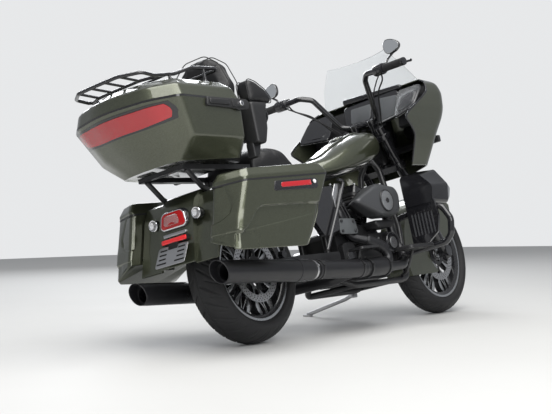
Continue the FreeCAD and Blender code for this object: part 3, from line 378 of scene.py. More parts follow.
# finishes
def group(name, inputs, outputs, fill):
    """A shader node group with named sockets, filled by a function of (nodes, links, in, out)."""
    tree = bpy.data.node_groups.new(name, "ShaderNodeTree")
    for label, kind, value in inputs:
        sock = tree.interface.new_socket(name=label, in_out="INPUT", socket_type=kind)
        if value is not None:
            sock.default_value = value
    for label, kind in outputs:
        tree.interface.new_socket(name=label, in_out="OUTPUT", socket_type=kind)
    source = tree.nodes.new("NodeGroupInput")
    target = tree.nodes.new("NodeGroupOutput")
    fill(tree.nodes, tree.links, source.outputs, target.inputs)
    return tree


F, COL = "NodeSocketFloat", "NodeSocketColor"


def add(nodes, kind, outlet=None, **given):
    """A shader node, set by value or wired from another's outlet; a key's _ stands for a space."""
    node = nodes.new("ShaderNode" + kind)
    for key, value in given.items():
        socket = node.inputs[key.replace("_", " ")]
        if isinstance(value, bpy.types.NodeSocket):
            node.id_data.links.new(value, socket)
        else:
            socket.default_value = value
    return node.outputs[outlet] if outlet else node


def fill_grain(nodes, links, source, target):
    """Small pebbles: cell distance mixed with fine noise gives a height."""
    coord = add(nodes, "TexCoord", "Object")
    cells = add(nodes, "TexVoronoi", Vector=coord, Scale=source["Scale"])
    cells.feature = "SMOOTH_F1"
    noise = add(nodes, "TexNoise", "Fac", Vector=coord, Scale=source["Scale"], Detail=3.0)
    mix = add(nodes, "Mix", "Result", Factor=source["Roughen"], A=cells.outputs["Distance"],
              B=noise)
    links.new(mix, target["Height"])


def fill_wear(nodes, links, source, target):
    """Outward edges from pointiness, broken up by noise, give a wear mask."""
    coord = add(nodes, "TexCoord", "Object")
    noise = add(nodes, "TexNoise", "Fac", Vector=coord, Scale=60.0)
    edge = add(nodes, "NewGeometry", "Pointiness")
    ramp = add(nodes, "MapRange", "Result", Value=edge, From_Min=0.52, From_Max=0.62)
    value = ramp
    for factor in (noise, source["Amount"]):
        times = nodes.new("ShaderNodeMath")
        times.operation = "MULTIPLY"
        links.new(value, times.inputs[0])
        links.new(factor, times.inputs[1])
        value = times.outputs["Value"]
    links.new(value, target["Mask"])


def fill_cloudy(nodes, links, source, target):
    """Large soft noise between two values, for smudges and uneven gloss."""
    coord = add(nodes, "TexCoord", "Object")
    noise = add(nodes, "TexNoise", "Fac", Vector=coord, Scale=source["Scale"], Detail=5.0)
    ramp = add(nodes, "MapRange", "Result", Value=noise, From_Min=0.3, From_Max=0.7,
               To_Min=source["Low"], To_Max=source["High"])
    links.new(ramp, target["Value"])


def fill_flake(nodes, links, source, target):
    """Tiny metal flakes: each cell of a fine pattern is a little lighter or darker."""
    coord = add(nodes, "TexCoord", "Object")
    cells = add(nodes, "TexVoronoi", "Color", Vector=coord, Scale=900.0)
    red = add(nodes, "SeparateColor", "Red", Color=cells)
    ramp = add(nodes, "MapRange", "Result", Value=red, To_Max=source["Amount"])
    mix = nodes.new("ShaderNodeMix")
    mix.data_type = "RGBA"
    links.new(ramp, mix.inputs["Factor"])
    links.new(source["Base"], mix.inputs[6])
    links.new(source["Flake"], mix.inputs[7])
    links.new(mix.outputs[2], target["Color"])


def fill_brushed(nodes, links, source, target):
    """Noise drawn out along one direction, for brushed and turned metal."""
    coord = add(nodes, "TexCoord", "Object")
    turn = add(nodes, "Mapping", "Vector", Vector=coord, Scale=(900.0, 12.0, 900.0))
    noise = add(nodes, "TexNoise", "Fac", Vector=turn, Detail=2.0)
    ramp = add(nodes, "MapRange", "Result", Value=noise, To_Min=source["Low"],
               To_Max=source["High"])
    links.new(ramp, target["Value"])


def build_groups():
    return {
        "grain": group("Fine Grain", [("Scale", F, 800.0), ("Roughen", F, 0.4)],
                       [("Height", F)], fill_grain),
        "wear": group("Edge Wear", [("Amount", F, 0.5)], [("Mask", F)], fill_wear),
        "cloudy": group("Uneven Gloss", [("Scale", F, 6.0), ("Low", F, 0.2),
                                         ("High", F, 0.3)], [("Value", F)], fill_cloudy),
        "flake": group("Metal Flake", [("Base", COL, (0.2, 0.2, 0.2, 1)),
                                       ("Flake", COL, (0.5, 0.5, 0.5, 1)),
                                       ("Amount", F, 0.5)], [("Color", COL)], fill_flake),
        "brushed": group("Brushed Lines", [("Low", F, 0.2), ("High", F, 0.4)],
                         [("Value", F)], fill_brushed),
    }


def put(mat, tree, **values):
    """Place a node group in a material and set its named inputs."""
    node = mat.node_tree.nodes.new("ShaderNodeGroup")
    node.node_tree = tree
    for key, value in values.items():
        node.inputs[key].default_value = value
    return node


def finish(name, color, rough, metallic=0.0, coat=0.0, coat_rough=0.05):
    """A material with its plain numbers set on the shader's own sockets."""
    mat = bpy.data.materials.new(name)
    mat.use_nodes = True
    bsdf = mat.node_tree.nodes["Principled BSDF"]
    bsdf.inputs["Base Color"].default_value = (*color, 1)
    bsdf.inputs["Roughness"].default_value = rough
    bsdf.inputs["Metallic"].default_value = metallic
    bsdf.inputs["Coat Weight"].default_value = coat
    bsdf.inputs["Coat Roughness"].default_value = coat_rough
    MATS[name] = mat
    return mat, bsdf


def bumpy(mat, bsdf, tree, scale, roughen, strength, distance):
    grain = put(mat, tree, Scale=scale, Roughen=roughen)
    bump = mat.node_tree.nodes.new("ShaderNodeBump")
    bump.inputs["Strength"].default_value = strength
    bump.inputs["Distance"].default_value = distance
    mat.node_tree.links.new(grain.outputs["Height"], bump.inputs["Height"])
    mat.node_tree.links.new(bump.outputs["Normal"], bsdf.inputs["Normal"])


def gloss(mat, bsdf, tree, scale, low, high):
    node = put(mat, tree, Scale=scale, Low=low, High=high)
    mat.node_tree.links.new(node.outputs["Value"], bsdf.inputs["Roughness"])


def worn(mat, bsdf, tree, base, edge, amount):
    """Base colour that turns to the edge colour where the edges are rubbed."""
    mask = put(mat, tree, Amount=amount)
    mix = mat.node_tree.nodes.new("ShaderNodeMix")
    mix.data_type = "RGBA"
    mix.inputs[6].default_value = (*base, 1)
    mix.inputs[7].default_value = (*edge, 1)
    mat.node_tree.links.new(mask.outputs["Mask"], mix.inputs["Factor"])
    mat.node_tree.links.new(mix.outputs[2], bsdf.inputs["Base Color"])


# name: colour, roughness low and high, metallic, coat, grain scale, grain height in mm,
# edge colour, edge amount
FINISHES = {
    "black_gloss": ((0.012, 0.012, 0.014), 0.10, 0.22, 0.0, 0.6, 0, 0, (0.05, 0.05, 0.055), 0.3),
    "black_satin": ((0.012, 0.012, 0.013), 0.32, 0.46, 0.0, 0.1, 900, 0.02,
                    (0.05, 0.05, 0.053), 0.4),
    "engine_black": ((0.014, 0.014, 0.015), 0.42, 0.58, 0.1, 0.0, 1400, 0.10,
                     (0.07, 0.07, 0.074), 0.5),
    "machined": ((0.55, 0.56, 0.57), 0.24, 0.34, 1.0, 0.0, 0, 0, (0.8, 0.8, 0.8), 0.3),
    "cover_grey": ((0.14, 0.15, 0.155), 0.34, 0.46, 0.5, 0.0, 900, 0.02, (0.3, 0.3, 0.3), 0.3),
    "steel": ((0.50, 0.50, 0.51), 0.26, 0.38, 1.0, 0.0, 0, 0, (0.75, 0.75, 0.75), 0.4),
    "chrome": ((0.80, 0.80, 0.82), 0.04, 0.10, 1.0, 0.0, 0, 0, (0.9, 0.9, 0.9), 0.1),
    "exhaust_black": ((0.017, 0.017, 0.019), 0.26, 0.38, 0.3, 0.0, 700, 0.01,
                      (0.06, 0.06, 0.063), 0.4),
    "rubber": ((0.010, 0.010, 0.011), 0.58, 0.74, 0.0, 0.0, 600, 0.05,
               (0.03, 0.03, 0.03), 0.4),
    "tyre": ((0.010, 0.010, 0.011), 0.60, 0.80, 0.0, 0.0, 500, 0.05,
             (0.034, 0.033, 0.032), 0.5),
    "leather": ((0.006, 0.006, 0.007), 0.46, 0.58, 0.0, 0.0, 420, 0.16,
                (0.026, 0.026, 0.028), 0.4),
    "plastic": ((0.013, 0.013, 0.014), 0.40, 0.52, 0.0, 0.0, 1100, 0.05,
                (0.04, 0.04, 0.043), 0.4),
    "grey_panel": ((0.060, 0.062, 0.066), 0.30, 0.42, 0.2, 0.1, 900, 0.02,
                   (0.14, 0.14, 0.145), 0.4),
    "wheel_black": ((0.014, 0.014, 0.016), 0.14, 0.26, 0.2, 0.5, 0, 0, (0.3, 0.3, 0.3), 0.3),
    "silver_paint": ((0.42, 0.425, 0.43), 0.22, 0.32, 0.6, 0.4, 0, 0, (0.7, 0.7, 0.7), 0.2),
}


def build_finishes():
    trees = build_groups()
    look = bpy.context.scene.moto_looks
    for name, row in FINISHES.items():
        color, low, high, metal, coat, grain, height, edge, amount = row
        mat, bsdf = finish(name, color, low, metal, coat)
        gloss(mat, bsdf, trees["cloudy"], 7.0, low, high)
        worn(mat, bsdf, trees["wear"], color, edge, amount)
        if grain:
            bumpy(mat, bsdf, trees["grain"], grain, 0.4, 0.6, height / 1000.0)
    base = tuple(look.paint)
    mat, bsdf = finish("paint", base, 0.3, 0.7, 1.0, 0.03)
    flake = put(mat, trees["flake"], Base=(*base, 1), Flake=(*tuple(look.flake), 1),
                Amount=look.flake_amount)
    mat.node_tree.links.new(flake.outputs["Color"], bsdf.inputs["Base Color"])
    gloss(mat, bsdf, trees["cloudy"], 3.0, 0.26, 0.36)
    mat, bsdf = finish("brushed", (0.62, 0.62, 0.63), 0.3, 1.0)
    lines = put(mat, trees["brushed"], Low=0.18, High=0.42)
    mat.node_tree.links.new(lines.outputs["Value"], bsdf.inputs["Roughness"])
    glass_finishes(trees)


def glass_finishes(trees):
    """Clear, smoked and coloured lenses, screens and reflectors."""
    rows = (("screen", (0.93, 0.95, 0.96), 0.02, 0.94), ("clear_lens", (0.95, 0.95, 0.95),
            0.03, 0.85), ("red_lens", (0.55, 0.005, 0.006), 0.08, 0.35))
    for name, color, rough, clear in rows:
        mat, bsdf = finish(name, color, rough)
        bsdf.inputs["Transmission Weight"].default_value = clear
        bsdf.inputs["IOR"].default_value = 1.2 if name == "screen" else 1.45
        gloss(mat, bsdf, trees["cloudy"], 9.0, rough, rough + 0.04)
    for name, color in (("red_reflector", (0.42, 0.006, 0.012)),
                        ("red_bar", (0.85, 0.008, 0.012))):
        mat, bsdf = finish(name, color, 0.18, 0.0, 1.0)
        bumpy(mat, bsdf, trees["grain"], 330.0, 0.1, 0.7, 0.0006)
    mat, bsdf = finish("display", (0.085, 0.090, 0.095), 0.12, 0.0, 1.0)
    gloss(mat, bsdf, trees["cloudy"], 5.0, 0.10, 0.18)
    mat, bsdf = finish("mark_white", (0.75, 0.76, 0.76), 0.4)
    gloss(mat, bsdf, trees["cloudy"], 8.0, 0.35, 0.45)
    mat, bsdf = finish("mirror_glass", (0.85, 0.87, 0.88), 0.02, 1.0)
    gloss(mat, bsdf, trees["cloudy"], 4.0, 0.01, 0.04)
    mat, bsdf = finish("lamp_inside", (0.75, 0.75, 0.76), 0.12, 1.0)
    bumpy(mat, bsdf, trees["grain"], 260.0, 0.1, 0.5, 0.001)
    # Near-black matte: the plate's stem and light bar backing, and painted shade on the patches
    # that stand for keyholes, slots and drilled holes.
    mat, bsdf = finish("matte_black_and_hole_shade", (0.004, 0.004, 0.004), 0.9)
    gloss(mat, bsdf, trees["cloudy"], 4.0, 0.8, 0.95)
    mat, bsdf = finish("floor", (0.60, 0.60, 0.59), 0.7)
    gloss(mat, bsdf, trees["cloudy"], 1.5, 0.62, 0.75)


# shared surface tools
def resample(loop, n):
    """The same closed outline with its points evenly spread along its length."""
    closed = np.concatenate([loop, loop[:1]])
    d = np.concatenate([[0], np.cumsum(np.linalg.norm(np.diff(closed, axis=0), axis=-1))])
    t = np.linspace(0, d[-1], n, endpoint=False)
    return np.stack([np.interp(t, d, closed[:, k]) for k in range(loop.shape[1])], -1)


def between(rows, z):
    """Numbers of a table at a height, along straight lines between its rows."""
    table = np.asarray(rows, float)
    return np.array([np.interp(z, table[:, 0], table[:, k]) for k in range(table.shape[1])])


def normals(grid):
    """Outward side of a grid whose columns run round and whose rows climb."""
    round_way = np.roll(grid, -1, 1) - np.roll(grid, 1, 1)
    climb = np.gradient(grid, axis=0)
    n = unit(np.cross(round_way, climb))
    centre = grid.reshape(-1, 3).mean(0)
    return n if np.mean(((grid - centre) * n).sum(-1)) > 0 else -n


def soften(grid, times=2):
    """Average each row with its neighbours, so that creases get a small radius."""
    g = grid.copy()
    for _ in range(times):
        g[1:-1] = 0.25 * g[:-2] + 0.5 * g[1:-1] + 0.25 * g[2:]
    return g


CASE_MIDDLE = np.array([0.0, -350.0, 1000.0])


def ribbon(patch, lift, sink=1.0):
    """A patch of surface given thickness: its section runs out over it and back beneath."""
    du = np.gradient(patch, axis=1)
    dv = np.gradient(patch, axis=0)
    n = unit(np.cross(du, dv))
    n = n if (n * (patch - CASE_MIDDLE)).sum() > 0 else -n
    out, back = patch + n * lift, patch - n * sink
    ring = np.concatenate([out, back[::-1]])
    return skin(np.swapaxes(ring, 0, 1), caps=True)


# top case
CASE_ROWS = (
    # height over the fender, half width ahead, half width behind, rear corner y, bulge
    (86.0, 238.0, 176.0, -470.0, 30.0), (174.0, 292.0, 284.0, -480.0, 112.0),
    (334.0, 304.0, 327.0, -560.0, 155.0), (335.0, 304.0, 327.0, -560.0, 155.0),
    (393.0, 290.0, 306.0, -554.0, 147.0), (438.0, 236.0, 240.0, -480.0, 136.0),
)


CASE_POINTS = 260


def case_loop(z, wall=0.0, front=-64.0):
    """Plan of the top case at a height: straight sides, round corners, a bulging back."""
    _, ahead, behind, corner, bulge = between(CASE_ROWS, z)
    a, b, f, s = ahead - wall, behind - wall, front - wall, corner + wall
    m = s - bulge
    pts = [(-a, f - 84), (-b, s), (-0.66 * b, s - 0.62 * bulge), (0, m),
           (0.66 * b, s - 0.62 * bulge), (b, s), (a, f - 84), (a - 74, f), (74 - a, f)]
    flat = resample(outline(pts, [30, 44, 160, 500, 160, 44, 30, 20, 20], 12), CASE_POINTS)
    return np.concatenate([flat, np.full((CASE_POINTS, 1), z + FENDER_TOP)], -1)


def levels(low, high, step):
    """Heights from low to high, the last one on high itself."""
    z = np.arange(low, high + step * 0.5, step)
    z[-1] = high
    return z


def matched(inner, outer):
    """As many rows of an inner wall as its outer wall has."""
    return inner[np.linspace(0, len(inner) - 1, len(outer)).round().astype(int)]


def case_wall(low, high, wall=0.0, fronts=(-64.0, -64.0)):
    """The top case's wall from one height to another, its front moving between two y."""
    z = levels(low, high, 4.0)
    f = np.linspace(fronts[0], fronts[1], len(z))
    return soften(np.stack([case_loop(k, wall, g) for k, g in zip(z, f)]), 3)


def rim_in(grid, first, last, d):
    """Roll the first or last row of a wall inwards by d, for a soft edge."""
    n = normals(grid)
    out = grid
    for wanted, row, up in ((first, 0, -1.0), (last, -1, 1.0)):
        if wanted:
            a = grid[row] - n[row] * d * 0.3
            b = grid[row] - n[row] * d
            a[:, 2] += up * d * 0.7
            b[:, 2] += up * d
            order = [b[None], a[None], out] if up < 0 else [out, a[None], b[None]]
            out = np.concatenate(order)
    return out


def rolled_top(outer, lifts):
    """A lid's wall carried in to the middle of its top, by rows of share left and rise."""
    edge = outer[-1]
    mid = edge.mean(0)
    rows = []
    for k, rise in lifts:
        row = mid + (edge - mid) * [k, k, 1]
        row[:, 2] += rise
        rows.append(row)
    return np.concatenate([outer, np.stack(rows)])


def case_base():
    outer = rim_in(case_wall(90.0, 331.0), True, True, 3.0)
    inner = case_wall(94.0, 331.0, 4.0)
    inner = np.concatenate([inner, inner[-1:] + [0, 0, 3.0]])
    return shell(outer[::-1], matched(inner, outer)[::-1])


def case_lid():
    """The lid's wall rolls over into a top that rises a little to its middle."""
    outer = rim_in(case_wall(338.5, 430.0, 0.0, (-70.0, -100.0)), True, False, 3.0)
    outer = rolled_top(outer, ((0.985, 3.4), (0.96, 5.6), (0.92, 7.0), (0.8, 8.6), (0.6, 9.6),
                               (0.3, 10.2), (0.04, 10.4)))
    return shell(outer, matched(case_wall(336.0, 426.0, 4.0, (-74.0, -104.0)), outer))


def gasket_and_gap_shade_band(loop, low, high, behind=3.0, proud=1.2):
    """Narrow band in the gap between a case and its lid, standing a little proud; in black it is a
    gasket that also paints the shade in the gap.
    """
    rows = ((low, behind), (low + 1, -proud), (high - 1, -proud), (high, behind))
    return skin(np.stack([loop(z, d) for z, d in rows]), caps=False)


def wrap_patch(wall, behind, low, high, taper, least):
    """Patch of the case's back behind a y, between two heights that close at its ends."""
    line = np.where(wall[-8, :, 1] < behind)[0]
    if np.max(np.diff(line)) > 1:
        line = np.roll(line, -int(np.argmax(np.diff(line)) + 1))
    s = np.abs(np.linspace(-1, 1, len(line)))
    z0 = FENDER_TOP + low[0] + low[1] * s ** 3
    z1 = FENDER_TOP + high[0] + high[1] * s ** 3
    ease = np.clip((1 - s) * len(line) / taper, least, 1)
    mid = 0.5 * (z0 + z1)
    z0, z1 = mid - (mid - z0) * ease, mid + (z1 - mid) * ease
    t = np.linspace(0, 1, 9)
    out = np.empty((len(t), len(line), 3))
    for k, c in enumerate(line):
        z = z0[k] + (z1[k] - z0[k]) * t
        for a in range(3):
            out[:, k, a] = np.interp(z, wall[:, c, 2], wall[:, c, a])
    return out


def case_details():
    """Wrap reflector, its black frame, and the black gasket band under the lid, which also paints
    the shade in the gap.
    """
    wall = case_wall(90.0, 333.0)
    red = ribbon(wrap_patch(wall, -584, (241, 22), (309, 4), 3.0, 0.25), 7.0)
    black = ribbon(wrap_patch(wall, -566, (232, 22), (318, 3), 4.0, 0.3), 3.0, 2.0)
    gasket_and_gap_shade = gasket_and_gap_shade_band(lambda z, d: case_loop(z, d, -66.0), 329.5, 339.5, proud=1.0)
    return red, black, gasket_and_gap_shade


def case_side_x(y, z):
    """The case's right side: x at a y and a height over the floor."""
    _, ahead, behind, corner, _ = between(CASE_ROWS, np.clip(z - FENDER_TOP, 86, 438).mean())
    t = np.clip((y - (-148.0)) / (corner + 148.0), 0, 1)
    return ahead + (behind - ahead) * t


def on_face(loop, face, low, high, edge=1.5, dome=0.0):
    """A flat outline in (y, z) laid on a curved side: x is the side's x plus the height."""
    points, faces = slab(loop, low, high, "yz", edge, dome)
    points = points.copy()
    points[:, 0] += face(points[:, 1], points[:, 2])
    return points, faces


def case_latch():
    z = FENDER_TOP
    body = outline([(-402, z + 296), (-392, z + 336), (-120, z + 338), (-96, z + 326),
                    (-112, z + 292), (-180, z + 284), (-200, z + 292)], [10, 8, 12, 10, 12, 12, 8])
    lever = outline([(-386, z + 304), (-380, z + 327), (-250, z + 329), (-246, z + 304)], 6)
    plate = outline([(-226, z + 297), (-226, z + 329), (-132, z + 329), (-118, z + 320),
                     (-128, z + 298)], 6)
    parts = [on_face(body, case_side_x, -3, 13, 3.0), on_face(lever, case_side_x, 10, 19, 3.0),
             on_face(plate, case_side_x, 10, 17, 2.0)]
    lock = knob((314, -168, z + 313), (1, 0, 0.05), 12, 16, 2.0)
    # Key slot: painted shade, a thin near-black block on the lock face instead of a recess.
    slot = block(330.4, 331.6, -169.2, -166.8, z + 306, z + 320, 0.3, 0.4)
    return parts, [lock], [slot]


# side cases
BAG_ROWS = (
    # height, rear y inside, rear y outside, rear x, front x, front y, fall per mm outwards
    (-273.0, -472.0, -446.0, 382.0, 440.0, -6.0, 0.43),
    (-190.0, -440.0, -404.0, 383.0, 449.0, 96.0, 0.12),
    (-168.0, -434.0, -384.0, 384.0, 450.0, 116.0, 0.0),
    (-42.0, -396.0, -328.0, 393.0, 452.0, 206.0, 0.0),
    (-24.0, -396.0, -328.0, 393.0, 452.0, 206.0, 0.0),
    (14.0, -366.0, -304.0, 374.0, 430.0, 182.0, 0.0),
)
BAG_INNER = 240.0
BAG_POINTS = 300


def bag_corners(z, wall, inset):
    _, rear_in, rear_out, x_rear, x_front, front, fall = between(BAG_ROWS, z)
    x_in = BAG_INNER + wall + inset
    return [(x_in, rear_in + wall), (x_rear - wall, rear_out + wall),
            (x_front - wall, front - wall), (x_in, front - wall)], fall


def bag_loop(z, wall=0.0, inset=0.0):
    """Plan of the right side case at a height, its bottom rising towards the wheel."""
    pts, fall = bag_corners(z, wall, inset)
    flat = resample(outline(pts, [16, 40, 34, 16], 14), BAG_POINTS)
    level = z + FENDER_TOP + 0.026 * flat[:, 1] - fall * (flat[:, 0] - BAG_INNER)
    return np.concatenate([flat, level[:, None]], -1)


def bag_face(y, z):
    """The right side case's outer side: x at a y and a height over the floor."""
    level = np.clip(z - FENDER_TOP - 0.026 * y, -273, -42)
    table = np.array(BAG_ROWS)[:4]
    yr = np.interp(level, table[:, 0], table[:, 2])
    xr = np.interp(level, table[:, 0], table[:, 3])
    xf = np.interp(level, table[:, 0], table[:, 4])
    yf = np.interp(level, table[:, 0], table[:, 5])
    t = (y - yr) / (yf - yr)
    return xr + (xf - xr) * t


def step_line(y):
    """Height of the carved line along the side: level ahead, falling away behind."""
    t = np.clip((-250.0 - y) / 160.0, 0, 1)
    return 563.0 - 104.0 * (t * t * (3 - 2 * t)) - 0.10 * np.clip(-y - 410, 0, 80)


def smoothstep(v, low, high):
    t = np.clip((v - low) / (high - low), 0, 1)
    return t * t * (3 - 2 * t)


def carve(grid):
    """Push the lower side panel in under the carved line, and sink the field behind."""
    g = grid.copy()
    x, y, z = g[..., 0], g[..., 1], g[..., 2]
    side = smoothstep(x, bag_face(y, z) - 30.0, bag_face(y, z) - 12.0) * smoothstep(y, -470, -440)
    under = 1 - smoothstep(z - step_line(y), -9.0, 1.0)
    depth = 15.0 * side * under
    crease = smoothstep(z, 455 + 0.12 * (y + 400), 462 + 0.12 * (y + 400))
    depth = depth + 5.0 * side * under * crease * (1 - smoothstep(y, 0, 60))
    g[..., 0] = x - depth
    back = np.interp(z, (430, 700), (-452, -400))
    behind = 1 - smoothstep(y, back + 22, back + 44)
    edge_x = np.interp(z, (508, 524, 545, 590, 640, 700), (236, 300, 332, 352, 366, 376))
    field = smoothstep(edge_x - x, 0.0, 12.0) * smoothstep(z, 506, 518) * behind
    field *= 1 - smoothstep(z, 666, 674)
    g[..., 1] = y + 9.0 * field
    sill = (1 - smoothstep(z, 459, 466)) * behind * smoothstep(x, 238, 250)
    g[..., 1] += 6.0 * sill
    return g


def bag_wall(low, high, wall=0.0, inset=(0.0, 0.0), step=2.6):
    """The right side case's wall from one height to another, leaning in by the inset."""
    z = levels(low, high, step)
    i = np.linspace(inset[0], inset[1], len(z))
    return soften(np.stack([bag_loop(k, wall, m) for k, m in zip(z, i)]), 2)


def bag_base():
    outer = rim_in(carve(bag_wall(-270.0, -44.5)), True, True, 3.0)
    inner = matched(bag_wall(-262.0, -42.5, 4.0, step=6.0), outer)
    inner[:, :, 0] -= 13.0 * smoothstep(inner[:, :, 0], 300, 360) * (1 - smoothstep(
        inner[:, :, 2], 540, 600))
    return shell(outer[::-1], inner[::-1])


def bag_lid():
    outer = rim_in(bag_wall(-37.5, 8.0, 0.0, (0.0, 16.0)), True, False, 3.0)
    outer = rolled_top(outer, ((0.985, 3.0), (0.95, 5.0), (0.88, 6.6), (0.7, 8.4), (0.45, 9.6),
                               (0.2, 10.2), (0.03, 10.4)))
    return shell(outer, matched(bag_wall(-40.0, 4.0, 4.0, (0.0, 16.0), 6.0), outer))


def bag_marker():
    """Red marker in a black bezel, with a round white spot at its front end."""
    bezel = outline([(-176, 620), (-160, 664), (92, 671), (108, 663), (104, 632), (90, 622)],
                    [10, 12, 10, 8, 12, 8])
    lens = outline([(-131, 634), (-124, 656), (62, 661), (63, 638)], [8, 8, 4, 4])
    spot = knob((448, 78, 652), (1, -0.03, 0), 9, 5.5, 1.5)
    return numbered([on_face(bezel, bag_face, -4, 3.4, 1.6)],
                    [on_face(lens, bag_face, 1.5, 6.0, 1.5, 1.0)], [spot])


class MOTO_OT_top_case(bpy.types.Operator):
    """Make the top case: base, lid, wrap reflector, latch and lock"""
    bl_idname = "moto.top_case"
    bl_label = "Top case"

    def execute(self, context):
        make("top_case_base", [case_base()], "paint", node="tour_case_base",
             sharp=50)
        make("top_case_lid", [case_lid()], "paint", "tour_case_lid", "tour_case_lid",
             sharp=50)
        red, black, gasket_and_gap_shade = case_details()
        make("wrap_reflector", [red], "red_reflector", sharp=40)
        # The black band under the lid is a gasket that also paints the shade in the gap.
        make("reflector_frame_and_gap_shade", [black, gasket_and_gap_shade], "black_gloss", sharp=40)
        body, lock, slot = case_latch()
        make("case_latch", body, "plastic")
        make("case_lock", numbered(lock, slot), ["chrome", "matte_black_and_hole_shade"])
        hinges = []
        for y in (-470.0, -300.0, -150.0):
            hinges.append(tube([(-331, y - 26, FENDER_TOP + 334.5),
                                (-331, y + 26, FENDER_TOP + 334.5)], 5.0))
        make("case_hinges", hinges, "black_satin")
        return {"FINISHED"}


class MOTO_OT_side_cases(bpy.types.Operator):
    """Make the side cases with their carved sides, lids, markers and the black gasket bands under
    the lids
    """
    bl_idname = "moto.side_cases"
    bl_label = "Side cases"

    def execute(self, context):
        for side in ("right", "left"):
            turn = (lambda p: p) if side == "right" else mirrored
            make("side_case_" + side, turn([bag_base()]), "paint",
                 node="saddlebag_" + side, sharp=50)
            make("side_case_lid_" + side, turn([bag_lid()]), "paint", "bag_lid_" + side,
                 "bag_lid_" + side, sharp=50)
            make("side_marker_" + side, turn(bag_marker()),
                 ["black_gloss", "red_reflector", "mark_white"])
            # Black gasket band under each lid: it also paints the shade in the gap between case
            # and lid.
            make("side_case_gasket_and_gap_shade_" + side, turn([gasket_and_gap_shade_band(bag_loop, -47.0, -37.5)]),
                 "black_satin")
        return {"FINISHED"}


# wheels
def ribbon_loop(line, widths):
    """Closed outline of a flat band along a line, with its half width at each point."""
    p = smooth_path(line, 28)
    w = np.interp(np.linspace(0, 1, 28), np.linspace(0, 1, len(widths)), widths)[:, None]
    t = unit(np.gradient(p, axis=0))
    n = np.stack([-t[:, 1], t[:, 0]], -1)
    return np.concatenate([p + n * w, (p - n * w)[::-1]])


def about_axle(part, axle, y, degrees):
    """Turn a part drawn round the origin of y and z by an angle and set it on an axle."""
    a = math.radians(degrees)
    p = np.asarray(part[0]).copy()
    py, pz = p[:, 1].copy(), p[:, 2].copy()
    p[:, 1] = py * math.cos(a) - pz * math.sin(a) + y
    p[:, 2] = py * math.sin(a) + pz * math.cos(a) + axle
    return (p, part[1], *part[2:])


def tyre_outline(radius, crown, half, bead, rim_half):
    edge = half - 3.0
    x = np.linspace(edge, -edge, 47)
    r = radius - crown + np.sqrt(crown ** 2 - x ** 2)
    top = r[0]
    mid = bead + 0.45 * (top - bead)
    t = np.linspace(0, 1, 15)[1:, None]
    a, c = np.array([-edge, top]), np.array([-rim_half, bead + 1])
    b = 2 * np.array([-half - 1.0, mid]) - 0.5 * (a + c)
    wall = (1 - t) ** 2 * a + 2 * t * (1 - t) * b + t ** 2 * c
    rib = 1.6 * np.exp(-((t[:, 0] - 0.80) / 0.06) ** 2) + 1.0 * np.exp(
        -((t[:, 0] - 0.12) / 0.05) ** 2)
    wall[:, 0] -= rib
    inner = np.array([[-rim_half + 9, bead + 1], [-30, radius - 40], [30, radius - 40],
                      [rim_half - 9, bead + 1]])
    other = wall[::-1] * [-1, 1]
    return np.concatenate([np.stack([x, r], -1), wall, inner, other]), len(x)


TYRE_STEPS = 640


def tyre(axle, y, sizes, pitches):
    """A tyre with curved grooves and thin sipes cut into its crown."""
    outline_xr, crown_count = tyre_outline(*sizes)
    n = TYRE_STEPS
    depth = bpy.context.scene.moto_sizes.tread_depth
    a = np.linspace(0, 2 * math.pi, n, endpoint=False)[:, None]
    x = np.broadcast_to(outline_xr[:, 0], (n, len(outline_xr)))
    r = np.broadcast_to(outline_xr[:, 1], (n, len(outline_xr))).copy()
    lane = np.abs(x) / sizes[2]
    turn = a / (2 * math.pi) * pitches + np.where(x > 0, 0.5, 0.0)
    main = np.abs((turn + 1.1 * lane ** 1.6) % 1.0 - 0.5)
    thin = np.abs((turn + 0.5 + 0.7 * lane ** 1.3) % 1.0 - 0.5)
    cut = smoothstep(-main, -0.085, -0.05) * smoothstep(lane, 0.10, 0.16) * (
        1 - smoothstep(lane, 0.84, 0.92))
    cut = np.maximum(cut, smoothstep(-thin, -0.05, -0.03) * smoothstep(lane, 0.42, 0.5)
                     * (1 - smoothstep(lane, 0.93, 0.98)) * 0.7)
    cut = np.maximum(cut, smoothstep(-np.abs(x), -4.2, -2.6))
    cut[:, crown_count:] = 0.0
    r = r - depth * cut
    grid = np.stack([x, y + r * np.sin(a), axle + r * np.cos(a)], -1)
    return skin(grid, caps=False, wrap_rows=True)


